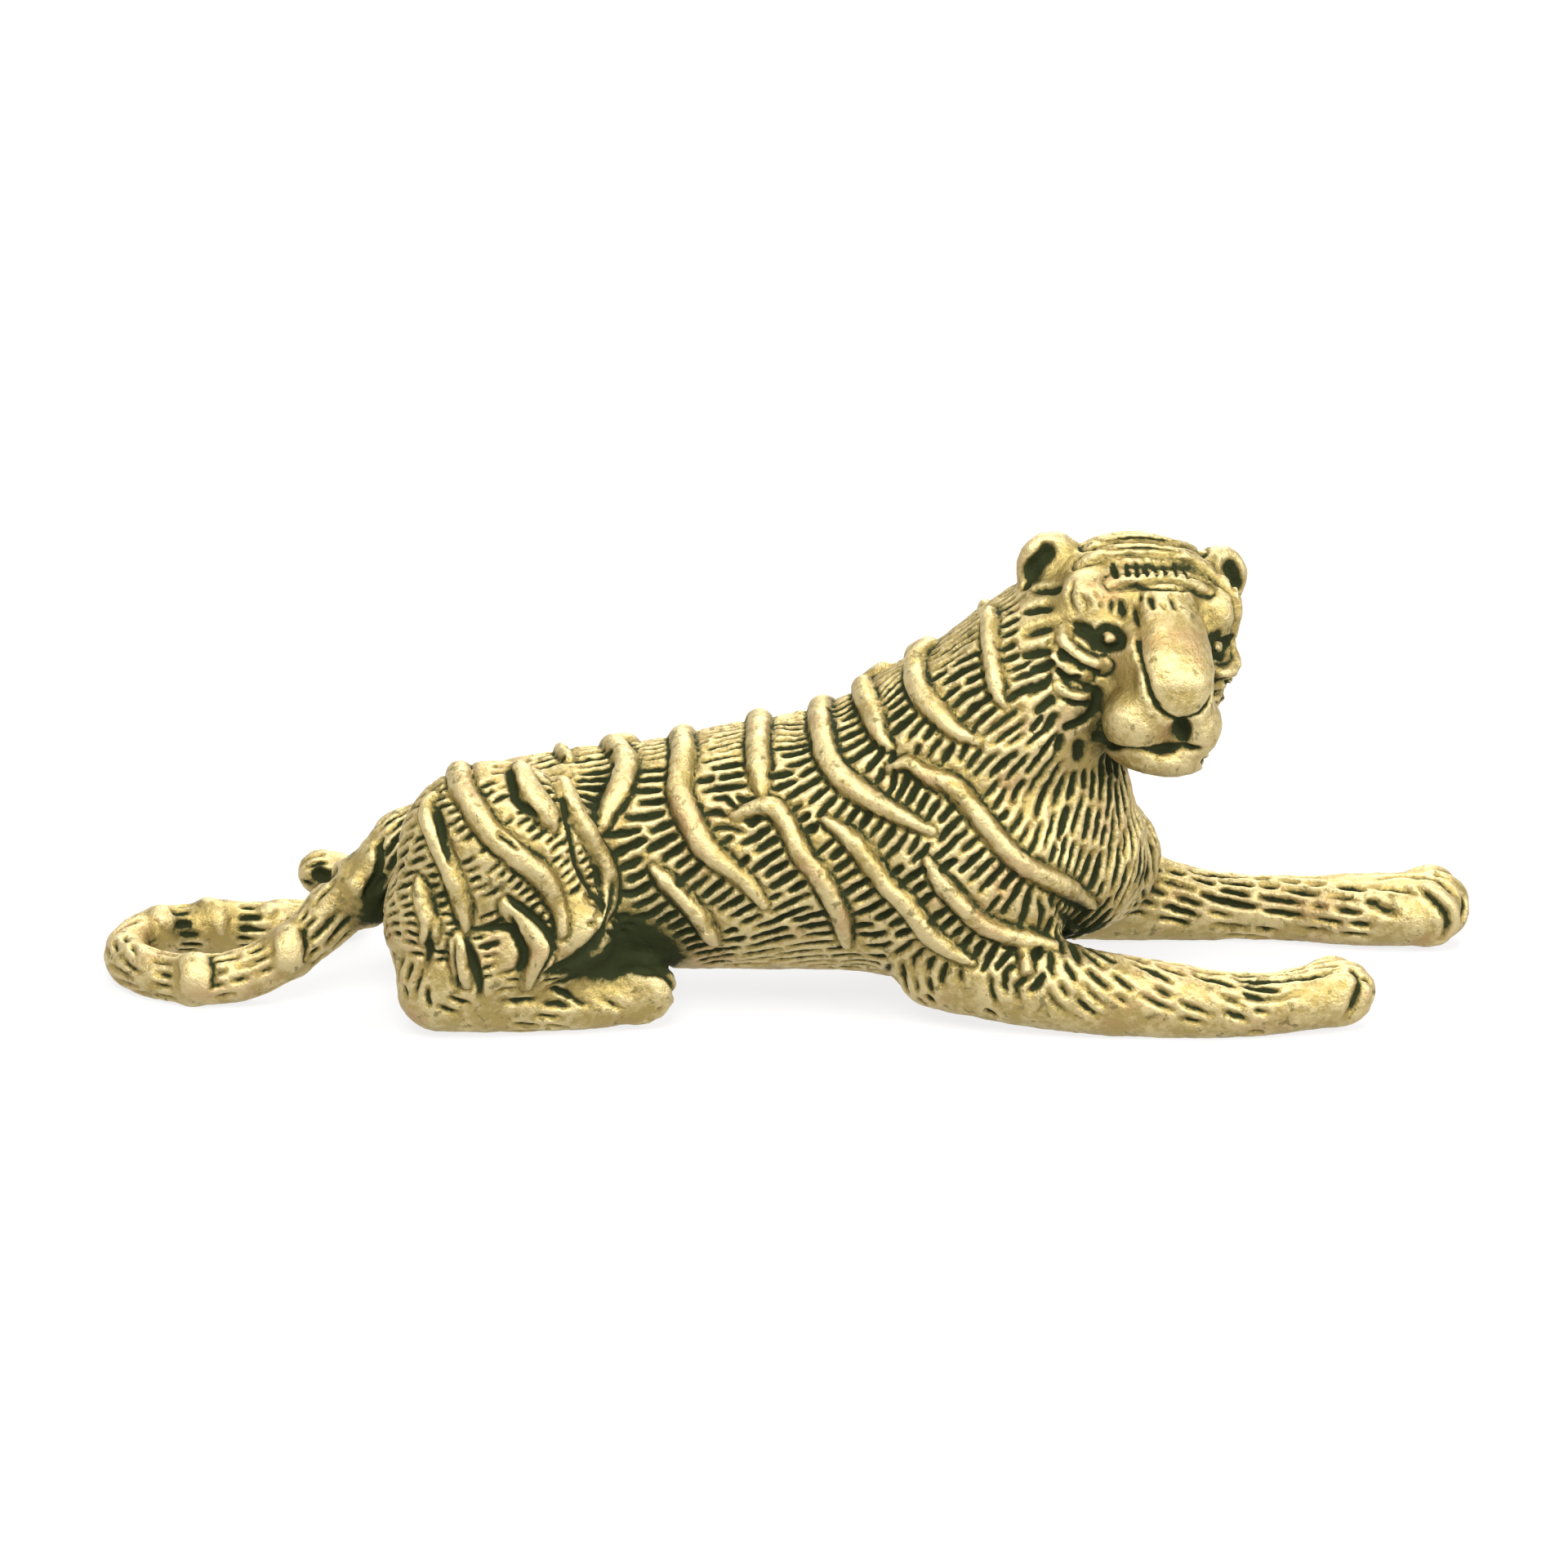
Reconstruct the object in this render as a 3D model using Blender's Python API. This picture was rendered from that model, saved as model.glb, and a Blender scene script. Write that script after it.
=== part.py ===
"""Recumbent tiger figurine, one solid brass casting with carved stripes.

The tiger lies along X with its paws towards +X and its head turned to its right, towards -Y.
It is modelled in millimetres, fused from lumps of clay as a modeller would, then written in metres.
"""

import math

import bmesh
import bpy
from mathutils import Matrix, Vector
from mathutils.bvhtree import BVHTree
from mathutils.kdtree import KDTree

MM = 0.001

# The view of the reference photograph, which places the carving. Millimetres, degrees and pixels.
PHOTO_CENTRE = 960
PIXELS_PER_MM = 22.1
VIEW_ELEVATION = 20.0
VIEW_DISTANCE = 500.0
VIEW_TARGET = Vector((-0.2, 0.0, 12.2))

# Fineness of the clay, in millimetres, and of the casting, in triangles.
MASS_VOXEL = 0.42
DETAIL_VOXEL = 0.26
CASTING_TRIANGLES = 11500
# The feet, belly and tail are ground flat at this height above the lowest clay.
FOOT_FLAT = 0.1

# The head: centre of the skull, and how the head is turned, tilted and rolled, in degrees.
SKULL = Vector((19.4, 0.5, 22.3))
HEAD_TURN = 17.5
HEAD_NOD = 0.0
HEAD_ROLL = 10.5

# Each station of a limb is x, y, z, half width and half height.
TORSO = [
    (-20.7, 0.0, 8.0, 2.9, 2.9),
    (-18.9, 0.0, 7.9, 5.0, 4.7),
    (-16.0, 0.0, 7.6, 6.0, 5.6),
    (-12.0, 0.0, 7.8, 6.0, 6.2),
    (-7.0, 0.0, 8.1, 6.3, 6.5),
    (-2.0, 0.0, 8.6, 6.9, 7.0),
    (2.0, 0.0, 8.95, 7.3, 7.35),
    (6.0, 0.0, 9.4, 7.4, 8.3),
    (10.0, 0.0, 9.4, 7.2, 7.7),
    (14.8, 0.5, 8.2, 5.4, 5.4),
]
NECK = [
    (4.6, 0.0, 10.5, 5.8, 5.6),
    (8.6, 0.0, 13.2, 6.4, 6.4),
    (11.8, 0.0, 15.9, 6.2, 5.8),
    (14.6, 0.2, 18.7, 5.6, 5.3),
    (17.0, 0.4, 20.4, 5.2, 4.8),
    (19.0, 0.5, 21.3, 4.6, 4.2),
]
TAIL = [
    (-18.4, 0.0, 7.8, 3.2, 2.8),
    (-21.0, 0.0, 7.2, 2.5, 2.6),
    (-23.0, -0.3, 6.3, 1.9, 2.2),
    (-24.8, -0.7, 5.1, 1.65, 1.75),
    (-26.8, -1.4, 3.5, 1.55, 1.55),
    (-29.8, -2.2, 1.9, 1.55, 1.55),
    (-33.0, -2.25, 1.45, 1.5, 1.5),
    (-36.2, -0.4, 1.4, 1.45, 1.45),
    (-37.1, 2.5, 1.35, 1.35, 1.35),
    (-35.8, 5.1, 1.45, 1.4, 1.45),
    (-32.4, 5.7, 1.5, 1.6, 1.55),
    (-29.0, 5.8, 1.5, 1.6, 1.55),
    (-26.6, 6.6, 1.5, 1.45, 1.5),
    (-24.6, 8.6, 1.9, 1.3, 1.35),
    (-25.0, 10.2, 2.7, 1.4, 1.45),
    (-26.6, 10.4, 3.13, 1.45, 1.5),
]
NEAR_FORELEG = [
    (8.0, -5.0, 3.75, 2.2, 2.9),
    (12.0, -5.9, 3.2, 2.4, 2.8),
    (16.0, -6.5, 2.5, 2.3, 2.5),
    (20.0, -6.8, 2.1, 2.1, 2.25),
    (24.0, -6.9, 1.8, 1.95, 1.95),
    (27.2, -6.5, 1.75, 1.95, 1.8),
    (30.0, -5.7, 1.95, 2.2, 1.85),
]
FAR_FORELEG = [
    (9.6, 6.4, 5.0, 2.4, 3.4),
    (14.0, 7.2, 4.0, 2.6, 3.5),
    (18.0, 7.7, 3.1, 2.4, 3.1),
    (23.0, 8.1, 2.05, 2.0, 2.15),
    (28.0, 8.0, 1.85, 1.9, 1.9),
    (32.0, 7.5, 1.95, 2.6, 2.0),
    (35.5, 7.15, 2.1, 2.75, 2.05),
]
# Hind legs are given for the far side, and mirrored for the near one.
SHANK = [
    (-11.6, 6.8, 6.5, 2.2, 2.6),
    (-15.0, 6.9, 4.7, 2.3, 2.6),
    (-19.1, 6.6, 3.2, 2.5, 2.9),
]
HIND_FOOT = [
    (-19.2, 6.4, 2.5, 2.6, 2.45),
    (-15.0, 6.2, 1.7, 2.2, 1.7),
    (-11.0, 5.8, 1.65, 2.1, 1.65),
    (-8.8, 5.3, 1.95, 2.2, 1.8),
]
# Each lump is its centre and its three radii, then a turn about Y in degrees.
BODY_LUMPS = [
    ((13.7, 0.0, 10.4), (5.6, 5.4, 7.4), 0.0),
    ((9.0, -4.6, 8.6), (6.9, 3.4, 6.7), 0.0),
    ((9.0, 4.8, 8.6), (6.6, 3.8, 6.6), 0.0),
    ((15.4, 5.0, 6.1), (5.7, 3.3, 4.7), 0.0),
    ((-15.8, -5.4, 9.85), (5.8, 3.7, 5.55), 28.0),
    ((-18.1, -5.4, 6.3), (4.3, 3.6, 4.8), 0.0),
    ((-14.6, 5.0, 6.5), (5.6, 3.9, 4.2), 20.0),
    ((-17.8, 5.2, 4.5), (4.0, 3.6, 3.8), 0.0),
    ((-12.6, -5.0, 3.6), (3.4, 2.6, 2.6), 0.0),
    ((-12.6, 5.0, 3.6), (3.4, 2.6, 2.6), 0.0),
]
# Each paw is the middle of its toes, their spread across, their height, and the way it points.
PAWS = [
    ((31.0, -5.3, 2.05), 0.95, 1.68, 14.0),
    ((37.1, 7.2, 2.25), 1.1, 2.0, -4.0),
    ((-7.6, -5.0, 2.1), 0.95, 1.8, 12.0),
    ((-7.6, 5.0, 2.1), 0.95, 1.8, -12.0),
]
# Lumps of the head, in its own frame; those off the middle are on both sides.
HEAD_LUMPS = {
    "skull": ((-0.6, 0.0, 0.1), (4.6, 5.2, 4.0)),
    "cheek": ((0.6, 3.1, -2.7), (3.3, 2.6, 3.7)),
    "muzzle": ((4.8, 0.0, -3.6), (3.1, 2.6, 2.7)),
    "nose_side": ((4.3, 1.4, -1.4), (2.2, 1.5, 2.1)),
    "nose_ball": ((7.0, 0.0, -2.75), (1.65, 2.3, 1.75)),
    "under_eye": ((3.0, 3.7, -2.0), (1.2, 1.3, 0.7)),
    "eye": ((3.85, 2.75, -0.5), (0.9, 0.75, 0.75)),
    "ear": ((-2.0, 4.95, 1.45), (1.1, 1.95, 2.05)),
}
# Lumps of the head that differ from side to side; the near side is the tiger's right.
SIDE_LUMPS = {
    "near_brow": ((1.5, -3.8, 0.7), (1.65, 1.75, 1.75)),
    "far_brow": ((1.9, 3.4, 0.7), (1.7, 1.4, 1.9)),
    "far_temple": ((1.2, 4.3, -0.9), (1.8, 1.05, 2.1)),
    "chin": ((5.0, 0.45, -6.5), (2.8, 3.05, 1.25)),
    "near_pad": ((6.15, -1.45, -4.55), (1.95, 2.0, 1.95)),
    "far_pad": ((6.2, 1.62, -4.5), (2.0, 1.75, 2.0)),
}
NOSE = [
    (2.8, 0.0, 1.9, 1.6, 1.0),
    (4.8, 0.0, 0.5, 1.9, 1.3),
    (6.5, 0.0, -1.1, 2.2, 1.5),
    (7.0, 0.0, -1.9, 2.3, 1.6),
]

# Raised stripes of the flank: photograph pixels, and half the width of the ridge.
FLANK_STRIPES = [
    ([(748, 908), (767, 931), (760, 962), (742, 994), (736, 1016)], 0.7),
    ([(831, 885), (836, 924), (831, 965), (844, 1003), (863, 1038), (892, 1064), (917, 1086),
      (937, 1109)], 0.62),
    ([(930, 879), (927, 908), (929, 940), (933, 972)], 0.6),
    ([(897, 999), (922, 990), (946, 988), (962, 1007), (981, 1045), (1000, 1070), (1019, 1102),
      (1032, 1134), (1037, 1160)], 0.55),
    ([(1003, 862), (1006, 902), (1020, 940), (1040, 960), (1065, 978), (1103, 1000),
      (1140, 1018)], 0.6),
    ([(1008, 1003), (1032, 1019), (1049, 1036), (1081, 1080), (1110, 1109), (1138, 1146),
      (1164, 1166), (1190, 1179)], 0.5),
    ([(1084, 815), (1063, 828), (1056, 845), (1068, 875), (1080, 905), (1088, 914)], 0.6),
    ([(1138, 790), (1119, 812), (1126, 848), (1148, 873), (1170, 895), (1196, 908)], 0.6),
    ([(1212, 745), (1210, 777), (1215, 816), (1221, 848), (1229, 863)], 0.5),
    ([(1088, 940), (1113, 934), (1129, 946), (1164, 962), (1190, 988), (1215, 1020),
      (1247, 1055), (1279, 1074), (1311, 1090), (1339, 1112)], 0.55),
    ([(1135, 1055), (1151, 1080), (1177, 1109), (1205, 1134), (1247, 1149), (1295, 1157)], 0.5),
    ([(799, 1064), (828, 1093), (857, 1125), (876, 1157)], 0.5),
    ([(684, 914), (690, 922), (700, 930)], 0.42),
]
HAUNCH_STRIPES = [
    ([(522, 985), (528, 1010), (540, 1045), (554, 1078), (565, 1112), (571, 1140)], 0.55),
    ([(560, 936), (562, 955), (569, 971), (588, 1003), (602, 1022), (620, 1038), (640, 1055),
      (660, 1071), (676, 1094), (686, 1118), (688, 1145)], 0.7),
    ([(635, 936), (648, 964), (665, 990), (679, 1012)], 0.7),
    ([(686, 955), (705, 994), (724, 1026), (740, 1061), (745, 1098), (737, 1136)], 0.6),
    ([(618, 1107), (630, 1122), (647, 1137), (660, 1151), (664, 1168), (657, 1190),
      (645, 1212)], 0.7),
    ([(512, 1077), (518, 1109), (526, 1136), (520, 1157)], 0.5),
    ([(560, 1146), (563, 1181), (571, 1208)], 0.5),
]
FACE_RIDGES = [
    ([(1336, 672), (1394, 666), (1446, 669)], 0.35),
    ([(1322, 690), (1352, 679), (1394, 677), (1448, 680), (1475, 692), (1496, 716), (1511, 749),
      (1514, 775)], 0.36),
    ([(1362, 712), (1410, 710), (1459, 713), (1480, 724)], 0.32),
    ([(1302, 772), (1304, 788), (1320, 804), (1343, 813), (1358, 812)], 0.46),
    ([(1288, 796), (1292, 810), (1309, 820), (1330, 829)], 0.36),
]
RIDGE_HEIGHT = 0.5
# How far beyond the middle plane the outline of the back lies, from the photograph's view.
BACK_RIDGE_Y = 2.2

# Rings of the tail: place along it from base to tip, and half the length of each.
TAIL_RINGS = [(0.17, 1.2), (0.291, 1.3), (0.398, 1.35), (0.61, 1.1), (0.675, 1.2), (0.745, 1.2)]

# Cut lines: photograph pixels, half width and depth.
BODY_CUTS = [
    ([(534, 991), (546, 1030), (558, 1061)], 0.4, 0.3),
    ([(622, 943), (640, 975), (654, 1002)], 0.4, 0.3),
    ([(689, 975), (697, 1005), (700, 1029)], 0.4, 0.3),
    ([(745, 1040), (760, 1090), (750, 1150), (720, 1180), (700, 1190)], 0.6, 0.45),
    ([(1280, 1125), (1345, 1128), (1385, 1150)], 0.5, 0.35),
]
FACE_CUTS = [
    ([(1397, 752), (1400, 791), (1406, 842), (1421, 869), (1445, 886)], 0.3, 0.4),
    ([(1445, 886), (1446, 905)], 0.45, 0.6),
    ([(1357, 908), (1380, 919), (1407, 922), (1432, 914), (1446, 904)], 0.32, 0.55),
    ([(1343, 834), (1341, 860), (1330, 880), (1314, 890)], 0.35, 0.4),
    ([(1322, 768), (1338, 784), (1352, 797), (1366, 801), (1381, 788), (1381, 775), (1368, 765),
      (1350, 768), (1334, 769), (1322, 768)], 0.27, 0.55),
    ([(1353, 694), (1400, 692), (1456, 697)], 0.36, 0.4),
    ([(1380, 722), (1420, 721), (1464, 722)], 0.25, 0.25),
    ([(1303, 770), (1320, 793), (1350, 806)], 0.25, 0.3),
    ([(1274, 676), (1262, 700), (1254, 720)], 0.6, 0.7),
]


def smooth_path(stations, steps=6):
    """The stations joined by a Catmull-Rom curve through all their numbers."""
    rows = [Vector(station) for station in stations]
    path = []
    for index in range(len(rows) - 1):
        start, end = rows[index], rows[index + 1]
        before = rows[index - 1] if index else start * 2 - end
        after = rows[index + 2] if index + 2 < len(rows) else end * 2 - start
        for step in range(steps):
            t = step / steps
            path.append(
                0.5
                * (
                    start * 2
                    + (end - before) * t
                    + (before * 2 - start * 5 + end * 4 - after) * t * t
                    + (start * 3 - before - end * 3 + after) * t * t * t
                )
            )
    path.append(rows[-1])
    return path


def add_limb(bm, stations, frame=None, normals=None, sides=20, cap_rings=4):
    """Lofts rings along the stations, a half height standing up or along the normals given."""
    path = stations if normals else smooth_path(stations)
    centres = [Vector(row[:3]) for row in path]
    rings = []

    def add_ring(index, centre, along, half_width, half_height):
        standing = normals[index] if normals else Vector((0, 0, 1))
        across = standing.cross(along)
        across = across.normalized() if across.length > 1e-6 else Vector((0, 1, 0))
        rise = along.cross(across).normalized()
        turns = [2 * math.pi * side / sides for side in range(sides)]
        ring = [
            centre + across * half_width * math.cos(turn) + rise * half_height * math.sin(turn)
            for turn in turns
        ]
        rings.append([bm.verts.new(point) for point in ring])

    def add_cap(index, direction):
        row = path[index]
        along = (centres[1] - centres[0]) if index == 0 else (centres[-1] - centres[-2])
        along.normalize()
        reach = min(row[3], row[4])
        angles = [math.pi / 2 * ring / cap_rings for ring in range(1, cap_rings)]
        for angle in reversed(angles) if direction < 0 else angles:
            shrink = math.cos(angle)
            centre = centres[index] + along * direction * reach * math.sin(angle)
            add_ring(index, centre, along, row[3] * shrink, row[4] * shrink)
        return centres[index] + along * direction * reach

    first_pole = add_cap(0, -1)
    for index, row in enumerate(path):
        ahead = centres[min(index + 1, len(path) - 1)]
        behind = centres[max(index - 1, 0)]
        add_ring(index, centres[index], (ahead - behind).normalized(), row[3], row[4])
    last_pole = add_cap(len(path) - 1, 1)
    for ring, following in zip(rings, rings[1:]):
        for side in range(sides):
            after = (side + 1) % sides
            bm.faces.new((ring[side], ring[after], following[after], following[side]))
    for ring, pole in ((rings[0], first_pole), (rings[-1], last_pole)):
        tip = bm.verts.new(pole)
        for side in range(sides):
            bm.faces.new((ring[side], ring[(side + 1) % sides], tip))
        rings.append([tip])
    if frame:
        bmesh.ops.transform(bm, matrix=frame, verts=[vert for ring in rings for vert in ring])


def add_lump(bm, centre, radii, frame=None, turn=0.0):
    """Adds an ellipsoid, turned about Y by some degrees, in a frame such as the head's."""
    matrix = (frame or Matrix.Identity(4)) @ Matrix.Translation(centre)
    matrix = matrix @ Matrix.Rotation(math.radians(turn), 4, "Y")
    matrix = matrix @ Matrix.Diagonal((*radii, 1.0))
    bmesh.ops.create_icosphere(bm, subdivisions=4, radius=1.0, matrix=matrix)


def head_frame():
    """The head's own axes: X to the nose, Y to its left ear, Z to the crown."""
    turn, nod, roll = (math.radians(a) for a in (HEAD_TURN, HEAD_NOD, HEAD_ROLL))
    facing = Matrix.Rotation(turn - math.pi / 2, 4, "Z")
    tilt = Matrix.Rotation(nod, 4, "Y") @ Matrix.Rotation(-roll, 4, "X")
    return Matrix.Translation(SKULL) @ facing @ tilt


def mirrored(stations):
    """The same stations on the other side of the body."""
    return [(x, -y, *rest) for x, y, *rest in stations]


def add_paw(bm, centre, spread, height, heading):
    """Four toes side by side, the middle two a little ahead."""
    facing = Matrix.Translation(centre) @ Matrix.Rotation(math.radians(heading), 4, "Z")
    for place, ahead in ((-1.5, -0.5), (-0.5, 0.0), (0.5, 0.0), (1.5, -0.5)):
        toe = facing @ Vector((ahead, place * spread, 0.0))
        frame = Matrix.Translation(toe) @ Matrix.Rotation(math.radians(heading + 5 * place), 4, "Z")
        add_lump(bm, (-0.45, 0, 0), (2.0, spread * 0.68, height), frame)


def add_tail_rings(bm):
    """Low swellings round the tail where its stripes cross it."""
    path = smooth_path(TAIL)
    for place, half_length in TAIL_RINGS:
        index = round(place * (len(path) - 1))
        row = path[index]
        along = Vector(path[index + 1][:3]) - Vector(path[index - 1][:3])
        frame = Matrix.Translation(row[:3]) @ along.to_track_quat("X", "Z").to_matrix().to_4x4()
        add_lump(bm, (0, 0, 0), (half_length, row[3] + 0.2, row[4] + 0.2), frame)


def clay_object(name, bm):
    """An object from the bmesh, with its faces pointing out."""
    bmesh.ops.recalc_face_normals(bm, faces=bm.faces)
    mesh = bpy.data.meshes.new(name)
    bm.to_mesh(mesh)
    bm.free()
    obj = bpy.data.objects.new(name, mesh)
    bpy.context.scene.collection.objects.link(obj)
    return obj


def fused(bm, voxel, smoothing):
    """The closed outer skin of everything in the bmesh, as a new bmesh."""
    obj = clay_object("clay", bm)
    remesh = obj.modifiers.new("fuse", "REMESH")
    remesh.mode = "VOXEL"
    remesh.voxel_size = voxel
    smooth = obj.modifiers.new("smooth", "SMOOTH")
    smooth.factor = 0.5
    smooth.iterations = smoothing
    skin = bmesh.new()
    skin.from_object(obj, bpy.context.evaluated_depsgraph_get())
    bpy.data.objects.remove(obj)
    return skin


def sight(tree, pixel):
    """Where a photograph pixel's sight line meets the skin, or nearly does, and the normal."""
    elevation = math.radians(VIEW_ELEVATION)
    ahead = Vector((0, math.cos(elevation), -math.sin(elevation)))
    rise = Vector((0, math.sin(elevation), math.cos(elevation)))
    eye = VIEW_TARGET - ahead * VIEW_DISTANCE
    across = (pixel[0] - PHOTO_CENTRE) / PIXELS_PER_MM
    up = (PHOTO_CENTRE - pixel[1]) / PIXELS_PER_MM
    direction = (ahead * VIEW_DISTANCE + rise * up + Vector((across, 0, 0))).normalized()
    place, normal, _, _ = tree.ray_cast(eye, direction)
    if place is None:
        over_back = eye + direction * ((BACK_RIDGE_Y - eye.y) / direction.y)
        place, normal, _, _ = tree.find_nearest(over_back)
    return place, normal


def traced(tree, pixels):
    """A smooth line through the pixels, laid on the skin as places and normals."""
    return [sight(tree, pixel) for pixel in smooth_path(pixels, steps=4)]


def reflected(tree, line, mirror, beyond=0.0):
    """The line on the other side of a mirror plane, laid on the skin again."""
    copies = []
    for place, _ in line:
        copy = mirror @ place
        if copy.y > beyond:
            near, normal, _, _ = tree.find_nearest(copy)
            copies.append((near, normal))
    return copies


def add_ridge(bm, line, half_width, height=RIDGE_HEIGHT):
    """A raised stripe along the line, tapering towards its ends."""
    if len(line) < 2:
        return
    rows = []
    last = len(line) - 1
    for index, (place, _) in enumerate(line):
        taper = 0.62 + 0.38 * min(1.0, 3 * min(index, last - index) / last)
        rows.append((*place, half_width * taper, height * taper))
    add_limb(bm, rows, normals=[normal for _, normal in line], sides=12, cap_rings=3)


def carve(skin, cuts):
    """Sinks the skin along the cuts, each a line of places with a half width and a depth."""
    count = sum(len(line) for line, _, _ in cuts)
    finder = KDTree(count)
    tools = []
    for line, half_width, depth in cuts:
        for place in line:
            finder.insert(place, len(tools))
            tools.append((half_width, depth))
    finder.balance()
    skin.normal_update()
    reach = 2.2 * max(half_width for half_width, _ in tools)
    moves = []
    for vert in skin.verts:
        sink = 0.0
        for _, index, distance in finder.find_range(vert.co, reach):
            half_width, depth = tools[index]
            sink = max(sink, depth * math.exp(-((distance / half_width) ** 2)))
        if sink > 0.01:
            moves.append((vert, vert.normal * sink))
    for vert, move in moves:
        vert.co -= move


def fine_places(line, spacing=0.12):
    """Places along the line, closely and evenly spaced."""
    places = []
    for (start, _), (end, _) in zip(line, line[1:]):
        steps = max(1, math.ceil((end - start).length / spacing))
        places += [start.lerp(end, step / steps) for step in range(steps)]
    return places


def masses():
    """Body, limbs, head and tail as one smooth skin."""
    bm = bmesh.new()
    for limb in (TORSO, NECK, TAIL, NEAR_FORELEG, FAR_FORELEG):
        add_limb(bm, limb)
    for limb in (SHANK, HIND_FOOT):
        add_limb(bm, limb)
        add_limb(bm, mirrored(limb))
    for centre, radii, turn in BODY_LUMPS:
        add_lump(bm, centre, radii, turn=turn)
    frame = head_frame()
    for name in ("skull", "cheek", "muzzle", "nose_side"):
        add_pair(bm, name, frame)
    return fused(bm, MASS_VOXEL, 8)


def add_pair(bm, name, frame):
    """A lump of the head, on both sides if it is off the middle."""
    centre, radii = HEAD_LUMPS[name]
    add_lump(bm, centre, radii, frame)
    if centre[1]:
        add_lump(bm, (centre[0], -centre[1], centre[2]), radii, frame)


def add_details(bm):
    """Face, toes, tail rings and stripes, standing on the masses; also the lines to be cut."""
    tree = BVHTree.FromBMesh(bm)
    frame = head_frame()
    across_body = Matrix.Scale(-1, 4, Vector((0, 1, 0)))
    across_head = frame @ across_body @ frame.inverted()
    for pixels, half_width in FLANK_STRIPES:
        line = traced(tree, pixels)
        far = reflected(tree, line, across_body, BACK_RIDGE_Y)
        if line[0][0].y > 1.0:
            add_ridge(bm, far[::-1] + line, half_width)
        else:
            add_ridge(bm, line, half_width)
            add_ridge(bm, far, half_width)
    for pixels, half_width in HAUNCH_STRIPES:
        line = traced(tree, pixels)
        add_ridge(bm, line, half_width)
        add_ridge(bm, reflected(tree, line, across_body, 3.0), half_width)
    for name in ("nose_ball", "under_eye", "eye", "ear"):
        add_pair(bm, name, frame)
    for centre, radii in SIDE_LUMPS.values():
        add_lump(bm, centre, radii, frame)
    add_limb(bm, NOSE, frame)
    for paw in PAWS:
        add_paw(bm, *paw)
    add_tail_rings(bm)
    skin = fused(bm, DETAIL_VOXEL, 3)
    tree = BVHTree.FromBMesh(skin)
    for pixels, half_width in FACE_RIDGES:
        add_ridge(skin, traced(tree, pixels), half_width, 0.3)
    skin = fused(skin, DETAIL_VOXEL, 2)
    tree = BVHTree.FromBMesh(skin)
    cuts = []
    for lines, mirror in ((BODY_CUTS, across_body), (FACE_CUTS, across_head)):
        for pixels, half_width, depth in lines:
            line = traced(tree, pixels)
            cuts.append((fine_places(line), half_width, depth))
            twin = reflected(tree, line, mirror, -99.0)
            cuts.append((fine_places(twin), half_width, depth))
    carve(skin, cuts)
    return skin


def cast(skin):
    """The carved clay as one brass casting, in metres, standing on its ground flats."""
    bmesh.ops.triangulate(skin, faces=skin.faces)
    obj = clay_object("pattern", skin)
    decimate = obj.modifiers.new("facets", "DECIMATE")
    decimate.ratio = CASTING_TRIANGLES / len(obj.data.polygons)
    bm = bmesh.new()
    bm.from_object(obj, bpy.context.evaluated_depsgraph_get())
    bpy.data.objects.remove(obj)
    geometry = bm.verts[:] + bm.edges[:] + bm.faces[:]
    ground = Vector((0, 0, FOOT_FLAT))
    bmesh.ops.bisect_plane(
        bm, geom=geometry, dist=1e-5, plane_co=ground, plane_no=(0, 0, 1), clear_inner=True
    )
    rim = [edge for edge in bm.edges if edge.is_boundary]
    bmesh.ops.holes_fill(bm, edges=rim, sides=0)
    bmesh.ops.triangulate(bm, faces=bm.faces)
    low = Vector([min(vert.co[axis] for vert in bm.verts) for axis in range(3)])
    high = Vector([max(vert.co[axis] for vert in bm.verts) for axis in range(3)])
    middle = (low + high) / 2
    bmesh.ops.translate(bm, verts=bm.verts, vec=Vector((-middle.x, -middle.y, -low.z)))
    bmesh.ops.scale(bm, verts=bm.verts, vec=Vector((MM, MM, MM)))
    return clay_object("tiger", bm)


def brass():
    """Aged brass."""
    material = bpy.data.materials.new("aged_brass")
    material.use_nodes = True
    shader = material.node_tree.nodes["Principled BSDF"]
    shader.inputs["Base Color"].default_value = (0.50, 0.36, 0.13, 1.0)
    shader.inputs["Metallic"].default_value = 1.0
    shader.inputs["Roughness"].default_value = 0.38
    return material


def main():
    for obj in list(bpy.data.objects):
        bpy.data.objects.remove(obj)
    skin = add_details(masses())
    tiger = cast(skin)
    tiger.data.materials.append(brass())


main()
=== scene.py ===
"""Recumbent tiger figurine in aged brass: the visual model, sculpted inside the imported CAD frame.

The tiger is one casting. Its masses are lofted and fused as a modeller works clay, its stripes are
laid on as ridges, and its fur, face and toes are cut with strokes that follow the form. Everything
is modelled in millimetres, in the modeller's frame, and is brought to the row frame at the end.
"""

import logging
import math
from collections import defaultdict, deque
from dataclasses import dataclass, field
from enum import Enum

import bmesh
import bpy
import numpy as np
from mathutils import Matrix, Vector, noise
from mathutils.bvhtree import BVHTree
from mathutils.kdtree import KDTree


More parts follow.
